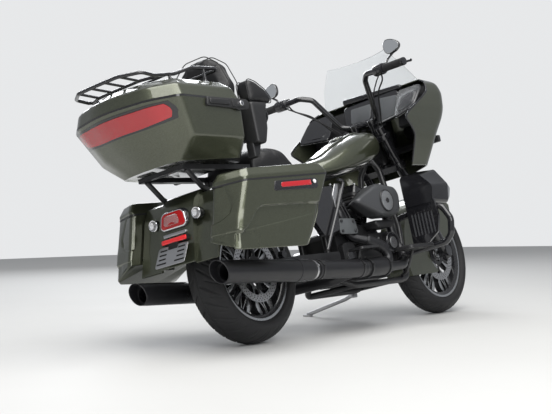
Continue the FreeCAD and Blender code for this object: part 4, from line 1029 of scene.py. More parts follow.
def wheel_rim(axle, y, bead, half, hub_half):
    """Barrel, bright lips, forked spokes with machined faces and a turned hub."""
    gap = 0.6
    drop = bead - 26.0
    reach = drop + 1.0
    barrel = ring_of([(-half, bead - gap), (-half + 1, bead - 15), (-half + 12, drop - 5),
                      (0, drop - 9), (half - 12, drop - 5), (half - 1, bead - 15),
                      (half, bead - gap), (half - 9, bead - gap - 1), (half - 20, drop + 2),
                      (-half + 20, drop + 2), (-half + 9, bead - gap - 1)], axle, y, 128)
    black, bright = [barrel], []
    for s in (-1, 1):
        lip = [(s * (half - 4), bead - 1), (s * (half + 1.6), bead - 2.5),
               (s * (half + 1.9), bead - 6), (s * (half + 0.6), bead - 13),
               (s * (half - 5), bead - 14.5), (s * (half - 7), bead - 5)]
        bright.append(ring_of(lip, axle, y, 128))
    arm_line = [(0, 0.30 * reach), (15, 0.46 * reach), (34, 0.66 * reach),
                (42, 0.84 * reach), (34, 1.0 * reach)]
    arm_wide = [4.5, 5.5, 6.0, 12.5, 12.0, 5.0]
    twig_line = [(20, 0.50 * reach), (14, 0.68 * reach), (6, 0.84 * reach), (4, reach)]
    twig_wide = [2.5, 4.0, 3.5, 3.0]
    stem_line = [(0, 38), (0, 0.30 * reach), (0, 0.44 * reach)]
    stem_wide = [15.0, 10.0, 3.0]
    shapes = []
    for side in (-1, 1):
        flip = np.array([side, 1.0])
        shapes.append(ribbon_loop(np.array(arm_line, float) * flip, arm_wide))
        shapes.append(ribbon_loop(np.array(twig_line, float) * flip, twig_wide))
    shapes.append(ribbon_loop(np.array(stem_line, float), stem_wide))
    x_face = 0.27 * half + 4
    for k in range(7):
        turn = 360.0 * k / 7
        for loop in shapes:
            black.append(about_axle(slab(loop, -x_face, x_face, "yz", 2.0), axle, y, turn))
            face = offset(loop, 1.1)
            for s in (-1, 1):
                low, high = sorted((s * (x_face - 0.6), s * (x_face + 0.9)))
                bright.append(about_axle(slab(face, low, high, "yz", 0.4), axle, y, turn))
    for s in (-1, 1):
        hub = [(13, 0), (46, 0), (46, 8), (40, 14), (36, hub_half - 26), (36, hub_half - 6),
               (33, hub_half - 3), (15, hub_half - 3), (13, hub_half - 3)]
        black.append(skin(turned([(r, h) for r, h in hub], (0, y, axle), (s, 0, 0), 40)))
        for k in range(5):
            a = 2 * math.pi * k / 5
            spot = (s * 12, y + 41 * math.sin(a), axle + 41 * math.cos(a))
            bright.append(knob(spot, (s, 0, 0), 5, 5, 1.0, 10))
        bright.append(knob((s * (hub_half - 5), y, axle), (s, 0, 0), 24, 5, 1.5, 32))
        bright.append(knob((s * (hub_half - 1), y, axle), (s, 0, 0), 13, 7, 1.5, 6))
    return numbered(black, bright)


DISC_R, DISC_THICK = 150.0, 5.0


def brake_disc(axle, y, x0):
    """Drilled disc on a spider with six arms; the drilled holes are painted shade, thin near-black
    discs on both faces.
    """
    outer, x1 = DISC_R, x0 + DISC_THICK
    band = ring_of([(x0, outer), (x1, outer), (x1, outer - 33), (x0, outer - 33)],
                   axle, y, 120)
    steel, dark, black = [band], [], []
    for k in range(6):
        loop = ribbon_loop(np.array([(0, 46.0), (9, 75.0), (4, 100.0), (-4, outer - 30)]),
                           [12.0, 7.0, 6.0, 8.0])
        black.append(about_axle(slab(loop, x0 + 0.6, x1 - 0.6, "yz", 0.8), axle, y, 60 * k))
        a = math.radians(60 * k)
        spot = (x0 - 1, y - (outer - 35) * math.sin(a - 0.03), axle + (outer - 35) * math.cos(a))
        steel.append(knob(spot, (1, 0, 0), 6, DISC_THICK + 2, 1.0, 12))
    # Drilled holes: painted shade, thin near-black discs laid on both faces instead of openings.
    for row, (r, count) in enumerate(((outer - 8, 44), (outer - 17, 44), (outer - 26, 36))):
        for k in range(count):
            a = 2 * math.pi * (k + 0.5 * (row % 2)) / count
            for x, s in ((x0 - 0.25, -1), (x1 + 0.25, 1)):
                at = (x - 0.5 * s, y + r * math.sin(a), axle + r * math.cos(a))
                dark.append(skin(turned([(3.1, 0), (3.1, 0.5), (0.2, 0.55)], at, (s, 0, 0), 8)))
    carrier = ring_of([(x0 + 0.4, 64), (x1 - 0.4, 64), (x1 - 0.4, 46.5), (x0 + 0.4, 46.5)],
                      axle, y, 60)
    black.append(carrier)
    return numbered(black, steel, dark)


def belt_pulley(axle):
    """Pulley ring and web on the left of the rear wheel, with five bolts."""
    ring = ring_of([(-116, 103), (-90, 103), (-90, 92), (-116, 92)], axle, 0.0, 120)
    web = ring_of([(-96, 94), (-90, 94), (-90, 47), (-96, 47)], axle, 0.0, 80)
    bolts = [knob((-95.5, 62 * math.sin(a), axle + 62 * math.cos(a)), (-1, 0, 0), 7, 5, 1, 6)
             for a in np.linspace(0, 2 * math.pi, 5, endpoint=False)]
    return numbered([ring, web], bolts)


def drive_belt():
    """Toothed belt round the two pulleys."""
    steps = 4 * 190
    z, y1, x0, x1 = REAR_AXLE_Z, 640.0, -116.6, -95.4
    r0, r1 = 104.2, 42.2
    tilt = math.asin((r0 - r1) / y1)
    a0 = np.linspace(math.pi / 2 - tilt, 1.5 * math.pi + tilt, 90)
    a1 = np.linspace(-math.pi / 2 + tilt, math.pi / 2 - tilt, 40)
    arc0 = np.stack([r0 * np.cos(a0), z + r0 * np.sin(a0)], -1)
    arc1 = np.stack([y1 + r1 * np.cos(a1), z + r1 * np.sin(a1)], -1)
    line = resample(np.concatenate([arc0, arc1]), steps)
    t = unit(np.roll(line, -1, 0) - np.roll(line, 1, 0))
    n = np.stack([t[:, 1], -t[:, 0]], -1)
    if np.sum(n * (line - line.mean(0))) < 0:
        n = -n
    tooth = np.where(np.arange(steps) % 4 < 2, 0.0, -1.6)[:, None]
    inside, outside = line + n * (1.2 + tooth), line + n * 4.6
    grid = np.stack([np.concatenate([np.full((steps, 1), x), p], -1) for x, p in
                     ((x0, inside), (x0, outside), (x1, outside), (x1, inside))], 1)
    return skin(grid, caps=False, wrap_rows=True)


class MOTO_OT_wheels(bpy.types.Operator):
    """Make tyres with tread, rims with machined spokes, brake discs, pulley and belt"""
    bl_idname = "moto.wheels"
    bl_label = "Wheels"

    def execute(self, context):
        count = context.scene.moto_sizes.tread_pitches
        rear = tyre(REAR_AXLE_Z, 0.0, (327, 100, 90, 236, 70), count)
        front = tyre(FRONT_AXLE_Z, FRONT[1], (325, 76, 66, 248, 48), count + 4)
        make("rear_tyre_tread", [rear], "tyre", "rear_wheel", "rear_tyre", sharp=40)
        make("front_tyre_tread", [front], "tyre", "front_wheel", "front_tyre", sharp=40)
        mats = ["wheel_black", "machined"]
        make("rear_wheel_rim", wheel_rim(REAR_AXLE_Z, 0.0, 236, 70, 88), mats, "rear_wheel",
             "rear_rim")
        make("front_wheel_rim", wheel_rim(FRONT_AXLE_Z, FRONT[1], 248, 48, 66), mats,
             "front_wheel", "front_rim")
        discs = ["black_satin", "steel", "matte_black_and_hole_shade"]
        make("rear_brake_disc", brake_disc(REAR_AXLE_Z, 0.0, 76.0), discs, "rear_wheel")
        pair = [part for x0 in (54.0, -59.0)
                for part in brake_disc(FRONT_AXLE_Z, FRONT[1], x0)]
        make("front_brake_discs", pair, discs, "front_wheel")
        make("belt_pulley", belt_pulley(REAR_AXLE_Z), ["black_satin", "steel"], "rear_wheel")
        make("toothed_belt", [drive_belt()], "rubber", node="drive_belt",
             sharp=30)
        return {"FINISHED"}


# exhaust and tail
def slanted(grid, rows, slope):
    """Lean the given rows of a round tube along y, by their height over its axis."""
    g = grid.copy()
    for k in rows:
        g[k, :, 1] += slope * (g[k, :, 2] - g[k, :, 2].mean())
    return g


PIPE_X = 246.0
OUTLET_SLANT = math.radians(20.0)


def muffler(side):
    """Muffler with its slanted outlet, band and clamp."""
    front = np.array([side * PIPE_X, 199.0, 281.0])
    back = np.array([side * PIPE_X, -447.0, 313.0])
    length = float(np.linalg.norm(back - front))
    axis = (back - front) / length
    outer = [(41, 0), (44, 6), (49.5, 22), (51, 34), (51, length - 60), (51, length - 8),
             (51, length - 1.2), (50.2, length), (48.4, length), (47.6, length - 1.2),
             (47.4, length - 10), (47.4, length - 38), (46, length - 41), (37, length - 42),
             (35.4, length - 41), (34.6, length - 42), (33.6, length - 46),
             (33.2, length - 178), (3, length - 180)]
    grid = turned(outer, front, axis, 72, (0, 0, 1))
    body = skin(slanted(grid, range(5, 11), -math.tan(OUTLET_SLANT)))
    clamp = skin(turned([(44.5, 2), (47, 3), (47, 17), (44.5, 18)], front, axis, 48))
    bolt = knob(front + axis * 10 + np.array([side * 44, 0, 12]), (side, 0, 0.2), 5, 9, 1, 10)
    band = skin(turned([(51.2, 118), (52.6, 119), (52.6, 131), (51.2, 132)], front, axis, 64))
    return numbered([body, band], [clamp, bolt])


def heat_shield(route, r, start, stop):
    """A half round shield over a pipe, with rolled edges."""
    path = smooth_path(round_path(route, 60), 60)[start:stop]
    a = np.radians(np.linspace(-112, 112, 23))
    out = np.stack([r * np.cos(a), r * np.sin(a)], -1)
    inside = np.stack([(r - 2.2) * np.cos(a), (r - 2.2) * np.sin(a)], -1)[::-1]
    ease = np.ones(len(path))
    ease[0] = ease[-1] = 0.965
    return sweep(path, np.concatenate([out, inside]), (1, 0, 0.2), ease)


REAR_PIPE = [(86.3, 668, 626), (142, 654, 560), (146, 700, 440), (200, 766, 404),
             (236, 836, 360), (246, 858, 304), (246, 806, 262)]
FRONT_PIPE = [(86.3, 1046, 640), (116, 1090, 600), (140, 1100, 430), (196, 1066, 300),
              (246, 970, 262), (246, 806, 258)]


def pipes():
    black, steel = [], []
    black.append(tube(REAR_PIPE, 24.6, 50, 28))
    black.append(tube(FRONT_PIPE, 23.6, 70, 28))
    trunk = [(24, 190), (36, 172), (43, 150), (44, 140), (44, 22), (42, 8), (40, 0)]
    black.append(skin(turned(trunk, (246, 634, 264), (0, 1, 0), 48)))
    black.append(tube([(246, 199.3, 281), (246, 640, 264)], 39.6, 40, 40))
    black.append(tube([(246, 560, 258), (120, 500, 232), (-120, 470, 232), (-246, 380, 268),
                       (-246, 199.3, 281)], 25.6, 60, 28))
    black.append(heat_shield([(246, 205, 280.6), (246, 420, 272), (246, 620, 264.5)], 44, 2, 58))
    black.append(heat_shield(REAR_PIPE[2:6], 31, 4, 52))
    black.append(heat_shield(FRONT_PIPE[2:5], 30, 4, 52))
    for y, z, r in ((634, 264, 46), (790, 264, 46), (236, 279.4, 45.5), (560, 267, 45.5)):
        ring = [(r - 2, 0), (r + 1.6, 1), (r + 1.6, 11), (r - 2, 12)]
        steel.append(skin(turned(ring, (246, y, z), (0, 1, 0), 48)))
        steel.append(knob((246 + r - 2, y + 6, z + 10), (1, 0, 0), 5, 8, 1, 10))
    for y, z in ((668, 626), (1046, 640)):
        flange = [(24, 0), (33, 0), (33, 8), (28, 10), (25, 14)]
        steel.append(skin(turned(flange, (86.3, y, z), (1, -0.2, -0.4), 32)))
    return numbered(black, steel)


def back_plate(loop, y0, y1, edge=1.5, dome=0.0, lean=0.0, pivot=0.0):
    """An (x, z) outline given depth towards the rear, leaning with height."""
    points, faces = slab(loop, -y0, -y1, "xz", edge, dome)
    p = points.copy()
    p[:, 1] = -p[:, 1] + lean * (p[:, 2] - pivot)
    return p, faces


def tail_lamp():
    """Crowned red lens in a bright bezel, with a clear reversing window and inner ribs."""
    z = 597.0
    body = outline([(-84, z - 30), (-70, z + 42), (70, z + 42), (84, z - 30), (64, z - 46),
                    (-64, z - 46)], [26, 36, 36, 26, 22, 22], 9)
    parts = [(*back_plate(body, -366, -394, 5, 0, 0.10, z), 0)]
    ring = offset(body, 4.0)
    parts.append((*back_plate(ring, -380, -398.5, 2.5, 0, 0.10, z), 1))
    lens = offset(body, 8.0)
    parts.append((*back_plate(lens, -384, -400, 4, 11, 0.10, z), 2))
    window = outline([(-52, z - 26), (-40, z + 20), (34, z + 20), (50, z - 26)], 14, 7)
    parts.append((*back_plate(window, -398, -409, 2, 3.5, 0.06, z), 3))
    for k in range(5):
        w = 40 - 3 * k
        bar = outline([(-w, z - 20 + 9 * k), (-w, z - 17 + 9 * k), (w, z - 17 + 9 * k),
                       (w, z - 20 + 9 * k)], 1)
        parts.append((*back_plate(bar, -400, -405.5, 0.6, 0, 0.06, z), 1))
    return parts


def signal(side):
    """Round turn signal: shell and arm, bright rim and bulbs, reflector, clear lens."""
    at = (side * 132.0, -350.0, 596.6)
    back = (0, -1, 0)
    shell_ = skin(turned([(5, -8), (14, -5), (22, 3), (25.6, 14), (26, 30), (25.4, 37),
                          (23.4, 37.4), (22.6, 34)], at, back, 40))
    rim_ = skin(turned([(22.8, 35), (25.8, 34.5), (26.4, 37.5), (24.4, 39.4), (22.4, 38.4)],
                       at, back, 40))
    cup = skin(turned([(22.4, 34.5), (19, 27), (12, 22), (4, 20), (0.4, 20)], at, back, 32),
               caps=False)
    lens = skin(turned([(22.6, 36.6), (21, 38.8), (15, 41), (8, 42.2), (0.4, 42.6)], at,
                       back, 32))
    bulbs = [knob((at[0] + 8 * math.cos(a), at[1] - 24, at[2] + 8 * math.sin(a)), back, 4.2, 6,
                  1.5, 10) for a in np.radians((45, 135, 225, 315))]
    arm = tube([(side * 132, -344, 596), (side * 132, -330, 596)], 9.5, 10, 20)
    return numbered([shell_, arm], [rim_] + bulbs, [cup], [lens])


def number_plate():
    """Blank slotted plate, its stem, the red light bar and the bright strip over it."""
    a = math.radians(30.0)
    plate = outline([(-89, -51), (-89, 51), (89, 51), (89, -51)], 10, 6)
    parts = [(*slab(plate, -1.6, 1.6, "xy", 0.8), 0)]
    for col in (-1, 1):
        for row in range(4):
            v = 33 - 22 * row
            wide = 22 if row < 3 else 30
            # Slots: painted shade, thin near-black slabs on both faces instead of openings.
            slot = outline([(col * 54 - wide, v - 4), (col * 54 - wide, v + 4),
                            (col * 54 + wide, v + 4), (col * 54 + wide, v - 4)], 4, 4)
            parts.append((*slab(slot, 1.5, 2.3, "xy", 0.3), 1))
            parts.append((*slab(slot, -2.3, -1.5, "xy", 0.3), 1))
    out = []
    for p, f, m in parts:
        q = p.copy()
        u, w = p[:, 1], p[:, 2]
        q[:, 1] = -446 + math.sin(a) * u - math.cos(a) * w
        q[:, 2] = 438.6 + math.cos(a) * u + math.sin(a) * w
        out.append((q, f, m))
    stem = slab(outline([(-434, 466), (-424, 494), (-398, 494), (-404, 464)], 3), -28, 28,
                "yz", 1.5)
    bar = outline([(-77, 491), (-77, 518), (77, 518), (77, 491)], 6)
    out.append((*stem, 1))
    out.append((*back_plate(bar, -394, -412, 2, 0, 0.15, 505), 1))
    lens = outline([(-74, 494), (-74, 515), (74, 515), (74, 494)], 7)
    out.append((*back_plate(lens, -408, -418, 3, 1.5, 0.15, 505), 2))
    strip = outline([(-66, 524), (-70, 538), (70, 538), (66, 524)], 5)
    out.append((*back_plate(strip, -390, -404, 2, 1.0, 0.15, 530), 0))
    return out


class MOTO_OT_exhaust(bpy.types.Operator):
    """Make the mufflers, pipes, shields and clamps"""
    bl_idname = "moto.exhaust"
    bl_label = "Exhaust"

    def execute(self, context):
        make("muffler_pair", muffler(1) + muffler(-1), ["exhaust_black", "steel"],
             node="mufflers", sharp=34)
        make("exhaust_pipes", pipes(), ["exhaust_black", "black_satin"],
             node="headers", sharp=34)
        return {"FINISHED"}


class MOTO_OT_tail(bpy.types.Operator):
    """Make the tail lamp, turn signals, red bar and blank plate"""
    bl_idname = "moto.tail"
    bl_label = "Tail"

    def execute(self, context):
        make("tail_light", tail_lamp(), ["black_gloss", "chrome", "red_lens", "clear_lens"],
             node="tail_lamp", sharp=40)
        make("signals_plate", number_plate(), ["steel", "matte_black_and_hole_shade", "red_bar"],
             node="signals_and_plate", sharp=36)
        make("turn_signals", signal(1) + signal(-1),
             ["black_gloss", "chrome", "lamp_inside", "clear_lens"], sharp=40)
        return {"FINISHED"}


# seat and pads
SEAT_ROWS = (
    # share of the way forward, half width, bottom, top over the fender
    (0.0, 150.0, 6.0, 120.0), (0.02, 156.0, 0.0, 152.0), (0.08, 168.0, -4.0, 170.0),
    (0.17, 182.0, -4.0, 175.0), (0.28, 184.0, -4.0, 172.0), (0.36, 184.0, -4.0, 156.0),
    (0.42, 185.0, -4.0, 116.0), (0.48, 188.0, -4.0, 76.0), (0.56, 190.0, -4.0, 47.0),
    (0.66, 180.0, -4.0, 36.0), (0.76, 150.0, -4.0, 36.0), (0.85, 116.0, 6.0, 50.0),
    (0.92, 98.0, 34.0, 74.0), (0.975, 84.0, 60.0, 98.0),
)


SEAT_SHRINK = 5.0


def seat_form():
    """Crowned sections from the passenger's pad to the nose against the tank."""
    n = 64
    rows = smooth_path(SEAT_ROWS, 72)
    a = np.linspace(0, 2 * math.pi, n, endpoint=False)
    cx = np.sign(np.cos(a)) * np.abs(np.cos(a)) ** 0.55
    cz = np.sign(np.sin(a)) * np.abs(np.sin(a)) ** 0.62
    grid = []
    for share, half, low, top in rows:
        y = 52.0 + share * 624.0
        h = 0.5 * (top - low) - SEAT_SHRINK
        w = half - SEAT_SHRINK
        dish = 9.0 * math.exp(-((share - 0.60) / 0.16) ** 2) + 5.0 * math.exp(
            -((share - 0.2) / 0.1) ** 2)
        z = 0.5 * (top + low) + h * cz
        z = z - np.where(cz > 0.5, dish * (1 - cx ** 2) - 3.0 * cx ** 2, 0.0)
        grid.append(np.stack([w * cx, np.full(n, y), z + FENDER_TOP], -1))
    grid = np.stack(grid)
    grid[:, :, 1] = np.minimum(grid[:, :, 1], 630.0)
    return skin(grid)


PRESSURE, SETTLE_FRAMES = 4.0, 20


def swollen(obj, voxel, cap):
    """Remesh a pad, swell it as cloth under pressure, and cap how far it moves."""
    scene = bpy.context.scene
    bpy.context.view_layer.objects.active = obj
    mod = obj.modifiers.new("Remesh", "REMESH")
    mod.mode = "VOXEL"
    mod.voxel_size = voxel / 1000.0
    mod.use_smooth_shade = True
    bpy.ops.object.modifier_apply(modifier="Remesh")
    count = len(obj.data.vertices)
    rest = np.empty(count * 3)
    obj.data.vertices.foreach_get("co", rest)
    cloth = obj.modifiers.new("Cloth", "CLOTH")
    cloth.settings.use_pressure = True
    cloth.settings.uniform_pressure_force = PRESSURE
    cloth.settings.effector_weights.gravity = 0.0
    cloth.settings.tension_stiffness = 12.0
    cloth.settings.compression_stiffness = 12.0
    cloth.point_cache.frame_start = 1
    cloth.point_cache.frame_end = SETTLE_FRAMES
    for frame_no in range(1, SETTLE_FRAMES + 1):
        scene.frame_set(frame_no)
    deps = bpy.context.evaluated_depsgraph_get()
    moved_mesh = obj.evaluated_get(deps).data
    now = np.empty(count * 3)
    moved_mesh.vertices.foreach_get("co", now)
    step = (now - rest).reshape(-1, 3)
    size = np.linalg.norm(step, axis=1, keepdims=True)
    step *= np.minimum(1.0, cap / 1000.0 / np.maximum(size, 1e-9))
    obj.data.vertices.foreach_set("co", (rest.reshape(-1, 3) + step).ravel())
    obj.modifiers.remove(cloth)
    scene.frame_set(1)
    smooth = obj.modifiers.new("Even", "SMOOTH")
    smooth.factor = 0.5
    smooth.iterations = 4
    bpy.ops.object.modifier_apply(modifier="Even")
    obj.data.shade_smooth()
    return obj


VOXEL = 6.0


def pad(name, parts, cap, node=None):
    """A padded piece in leather, swollen by at most the cap."""
    obj = make(name, parts, "leather", node=node)
    swollen(obj, VOXEL, cap)
    return obj


def seat_piping():
    """Two lines of piping across the seat, below the passenger's part and at the nose."""
    out = []
    for share in (0.40, 0.74):
        t = np.linspace(-1, 1, 25)
        row = np.array([np.interp(share, np.array(SEAT_ROWS)[:, 0], np.array(SEAT_ROWS)[:, k])
                        for k in range(4)])
        x = t * (row[1] + 1.5)
        z = row[3] + FENDER_TOP + 2.5 - (row[3] * 0.6 + 10) * np.abs(t) ** 7
        y = 52 + share * 624 - 26 * (1 - t ** 2) + 10
        out.append(tube(None, 2.6, n=10, path=np.stack([x, y, z], -1)))
    return out


BACK_LOOP = [(-160, 1078), (-176, 1188), (-136, 1290), (-62, 1346), (62, 1346), (136, 1290),
             (176, 1188), (160, 1078)]
ARM_LOOP = [(-50, 1068), (-50, 1180), (18, 1163), (76, 1130), (108, 1092), (104, 1068)]


def pods():
    """Speaker housings at the sides of the passenger's back, and the bars between them."""
    z = FENDER_TOP + 334.0
    high = outline([(-62, z - 190), (-62, z + 4), (60, z + 4), (43, z - 30), (29, z - 120),
                    (0, z - 190)], [14, 12, 22, 26, 40, 20])
    low = outline([(-62, z - 249), (-62, z - 176), (2, z - 178), (-24, z - 236),
                   (-40, z - 249)], [10, 8, 14, 12, 8])
    house = [slab(high, 216, 295, "yz", 9.0, 3.0), slab(low, 216, 261, "yz", 6.0)]
    grille = []
    for k in range(9):
        u = (k + 1) / 10.0
        y = 61 - 26 * u
        grille.append(block(228, 284, y - 3, y + 3, z - 16 - 88 * u, z - 12 - 88 * u, 1.0, 2.0))
    speaker = skin(turned([(2, 4), (18, 3), (34, 0), (36, -3)], (256, 40, z - 64),
                          (0, 0.97, -0.24), 36))
    rim_ = skin(turned([(33, -4), (40, -3), (41, 2), (37, 6), (33, 4)], (256, 41, z - 64),
                       (0, 0.97, -0.24), 40))
    bar = [block(-218, 218, -56, -24, z + 6, z + 38, 5.0, 10.0),
           block(-214, 214, -63, 18, z - 155, z + 8, 6.0, 16.0)]
    return numbered(both(house) + bar, both(grille + [speaker]), both([rim_]))


class MOTO_OT_soft_goods(bpy.types.Operator):
    """Make the seat, the backrest and the arm pads as padded forms with piping"""
    bl_idname = "moto.soft_goods"
    bl_label = "Soft goods"

    def execute(self, context):
        swell = context.scene.moto_sizes.pad_swell
        pad("seat_pad", [seat_form()], swell, "seat")
        back = slab(outline(BACK_LOOP, [40, 60, 60, 60, 60, 60, 60, 40]), -46, 20, "xz", 15, 8)
        pad("back_pad", [back], swell, "backrest")
        arms = outline(ARM_LOOP, [20, 26, 40, 40, 24, 20])
        arm = slab(arms, 212, 290, "yz", 17, 3)
        pad("arm_pads", both([arm]), swell - 2.0)
        edge = offset(outline(BACK_LOOP, [40, 60, 60, 60, 60, 60, 60, 40]), -5)
        seams = []
        for y in (-40, 14):
            ring = np.stack([edge[:, 0], np.full(len(edge), float(y)), edge[:, 1]], -1)
            seams.append(sweep(ring, circle(2.4, 8), (0, 1, 0), closed=True, caps=False))
        side = offset(arms, -2)
        for x in (222, 280):
            ring = np.stack([np.full(len(side), float(x)), side[:, 0], side[:, 1]], -1)
            piece = sweep(ring, circle(2.2, 8), (1, 0, 0), closed=True, caps=False)
            seams += both([piece])
        make("seat_piping", seams + seat_piping(), "leather", sharp=60)
        make("speaker_pods", pods(), ["plastic", "black_satin", "black_gloss"],
             sharp=36)
        return {"FINISHED"}


# fairing, dash, bars
FAIRING_ROWS = (
    # z, half width, rear y, side front y, nose y, from the front axle
    (775.0, 290.0, -430.0, -262.0, -125.0), (926.0, 356.0, -445.0, -218.0, -36.0),
    (1005.0, 386.0, -546.0, -180.0, 8.0), (1040.0, 392.0, -510.0, -158.0, 20.0),
    (1075.0, 399.0, -448.0, -146.0, 14.0), (1150.0, 403.0, -318.0, -135.0, -5.0),
    (1206.0, 390.0, -298.0, -150.0, -45.0), (1240.0, 330.0, -258.0, -172.0, -95.0),
)


WING = np.array([172.0, 178.0])


def fairing_rows():
    """The table's rows made many, half way between straight lines and a smooth curve."""
    table = np.array(FAIRING_ROWS)
    z = np.linspace(table[0, 0], table[-1, 0], 64)
    smooth = smooth_path(table, 400)
    index = np.argmin(np.abs(smooth[:, 0][None] - z[:, None]), axis=1)
    mixed = 0.5 * smooth[index] + 0.5 * np.stack(
        [np.interp(z, table[:, 0], table[:, c]) for c in range(5)], -1)
    mixed[:, 0] = z
    return mixed


def u_path(row, inset=0.0, n=150):
    """Plan of the fairing at a height, from its right rear edge round to the left one."""
    _, half, rear, side, nose = row
    w, s, f = half - inset, side - inset, nose - inset
    brow = f - 0.1 * (f - s)
    pts = [(w, rear), (w, s), (0.42 * w, brow), (-0.42 * w, brow), (-w, s), (-w, rear)]
    path = round_path(np.array([(*p, 0.0) for p in pts]), 90.0, 14)[:, :2]
    d = np.concatenate([[0], np.cumsum(np.linalg.norm(np.diff(path, axis=0), axis=1))])
    t = np.linspace(0, d[-1], n)
    return np.stack([np.interp(t, d, path[:, k]) for k in range(2)], -1)


def fairing_shell():
    """Painted shell round the front, from the chin to under the screen."""
    grid = []
    for row in fairing_rows():
        out, inside = u_path(row), u_path(row, 5.0)[::-1]
        ring = np.concatenate([out, inside])
        grid.append(np.concatenate([ring, np.full((len(ring), 1), row[0])], -1))
    grid = soften(np.stack(grid), 2) + FRONT
    return skin(grid)


def fairing_top():
    row = fairing_rows()[-1]
    loop = u_path(row, 0.5, 90)
    return moved([slab(loop, 1233.0, 1240.0, "xy", 2.0)], FRONT)


def fairing_edge():
    """Black trim along the rear edge of the fairing."""
    rows = fairing_rows()
    line = np.stack([rows[:, 1] - 2.5, rows[:, 2] + 1.0, rows[:, 0]], -1)[2:-1] + FRONT
    section = outline([(-5, -4), (-5, 4), (5, 4), (5, -4)], 3, 3)
    return both([sweep(line, section, (0, 1, 0))])


def dash_face(z):
    return np.interp(z, (1010.0, 1100.0, 1216.0), (1300.0, 1322.0, 1366.0))


def dash_piece(corners, radii, lift, thick=4.0, edge=1.5):
    """A flat (x, z) outline, drawn as it lies at y 1325, laid on the sloping dash."""
    loop = outline(corners, radii, 6)
    y = dash_face(loop[:, 1]) - lift
    loop = loop + np.stack([-0.75 * (y - 1325), 0.264 * (y - 1325)], -1)
    p, f = slab(loop, 0.0, thick, "xz", edge)
    p = p.copy()
    p[:, 1] = dash_face(p[:, 2]) - lift - p[:, 1]
    return p, f


def on_wing(part):
    """A piece drawn flat in (x, z), with its thickness in y, laid on the sloping wing panel."""
    low_in, low_out, top_in, top_out = (np.array(c, float) for c in (
        (222, 1236, 1046), (392, 1172, 1062), (226, 1336, 1204), (388, 1318, 1198)))
    p, f = part
    u, v = p[:, 0:1] / WING[0], p[:, 2:3] / WING[1]
    flat = (1 - v) * ((1 - u) * low_in + u * low_out) + v * ((1 - u) * top_in + u * top_out)
    n = unit(np.cross(low_out - low_in, top_in - low_in))
    return flat - p[:, 1:2] * n, f


def wings():
    """The two speaker panels: black body, grey perforated cover, bright strip below."""
    w, h = WING
    body = outline([(0, 0), (w, 0), (w, h), (0, h)], [30, 34, 40, 20], 7)
    cover = outline([(20, 20), (w - 20, 16), (w - 20, h - 18), (20, h - 18)],
                    [40, 46, 46, 30], 8)
    strip = outline([(4, 2), (w - 10, 1), (w - 10, 8), (6, 9)], 2, 3)
    out = [(*slab(body, -12.0, 0.0, "xz", 4.0), 0),
           (*slab(cover, -14.0, 7.0, "xz", 4.0), 0),
           (*slab(offset(cover, 6.0), 4.0, 9.0, "xz", 2.5, 3.0), 4),
           (*slab(strip, 0.0, 3.5, "xz", 1.0), 2)]
    return both([(*on_wing((p, f)), k) for p, f, k in out])


def dash():
    """Board with two screens, a bright strip, the brow, the wings and a row of switches."""
    board = dash_piece([(-134, 1208), (226, 1216), (246, 1188), (212, 1070), (60, 1056),
                        (-140, 1090)], [26, 26, 20, 26, 30, 26], 4, 26, 8)
    brow = dash_piece([(-126, 1253), (256, 1234), (263, 1210), (-126, 1222)], 10, 6, 26, 5)
    screens = [dash_piece(corners, 12, 29, 3.5, 1.2) for corners in (
        [(-100, 1193), (40, 1189), (10, 1109), (-118, 1112)],
        [(95, 1201), (212, 1189), (197, 1094), (69, 1078)])]
    strip = dash_piece([(214, 1190), (222, 1188), (206, 1086), (66, 1068), (66, 1076),
                        (199, 1092)], 2, 29, 4.0, 0.8)
    switches = [dash_piece([(x, 1050), (x, 1064), (x + 30, 1064), (x + 30, 1050)], 4, 8, 6, 1.5)
                for x in range(-60, 116, 44)]
    return numbered([board, brow], screens, [strip], switches) + wings()


def lamps_front():
    """Two round headlamps on their bracket: shell, ring and bulb, reflector bowl, lens."""
    shells, rings, bowls, lenses = [], [], [], []
    for x in (-96.0, 96.0):
        at, ahead = (x, 1580.0, 1030.0), (0, 1, 0)
        shells.append(skin(turned([(20, 0), (50, 4), (56, 14), (56.4, 58), (54, 60)], at, ahead,
                                  56)))
        rings.append(skin(turned([(53, 56), (56.6, 55), (57, 60), (53, 62), (50, 60)], at,
                                 ahead, 56)))
        rings.append(knob((x, 1588, 1030), ahead, 20, 34, 6, 32, 3.0))
        bowls.append(skin(turned([(52, 54), (44, 32), (28, 14), (6, 8), (0.4, 8)], at, ahead,
                                 48), caps=False))
        lenses.append(skin(turned([(51, 57), (44, 61), (26, 65), (8, 66.5), (0.4, 66.6)], at,
                                  ahead, 48)))
    bars_ = [block(-30, 30, -232, -129, 884, 930, 4, 6),
             block(-318, 318, -155, -127, 900, 936, 4, 6),
             block(-36, 36, -155, -127, 930, 1234, 4, 6)]
    return numbered(shells + moved(bars_, FRONT), rings, bowls, lenses)


def bars():
    """Bent bar on its two risers, with the clamp between them."""
    side = [(-5, -56, 74), (78, -56, 74), (118, -82, 86), (180, -218, 258), (228, -268, 277),
            (318, -298, 266), (470, -319, 259.5)]
    bar = moved(both([tube(side, 15, 50, 22)]), BARS)
    risers = moved(both([skin(turned([(17, 0), (19.6, 3), (19.6, 60), (24, 70), (24, 96),
                                      (20, 99)], (55, -24, -8), (0.03, -0.367, 0.929), 32))]),
                   BARS)
    clamp = moved([block(-30, 30, -74, -38, 66, 84, 4, 8)], BARS)
    return bar + risers + clamp


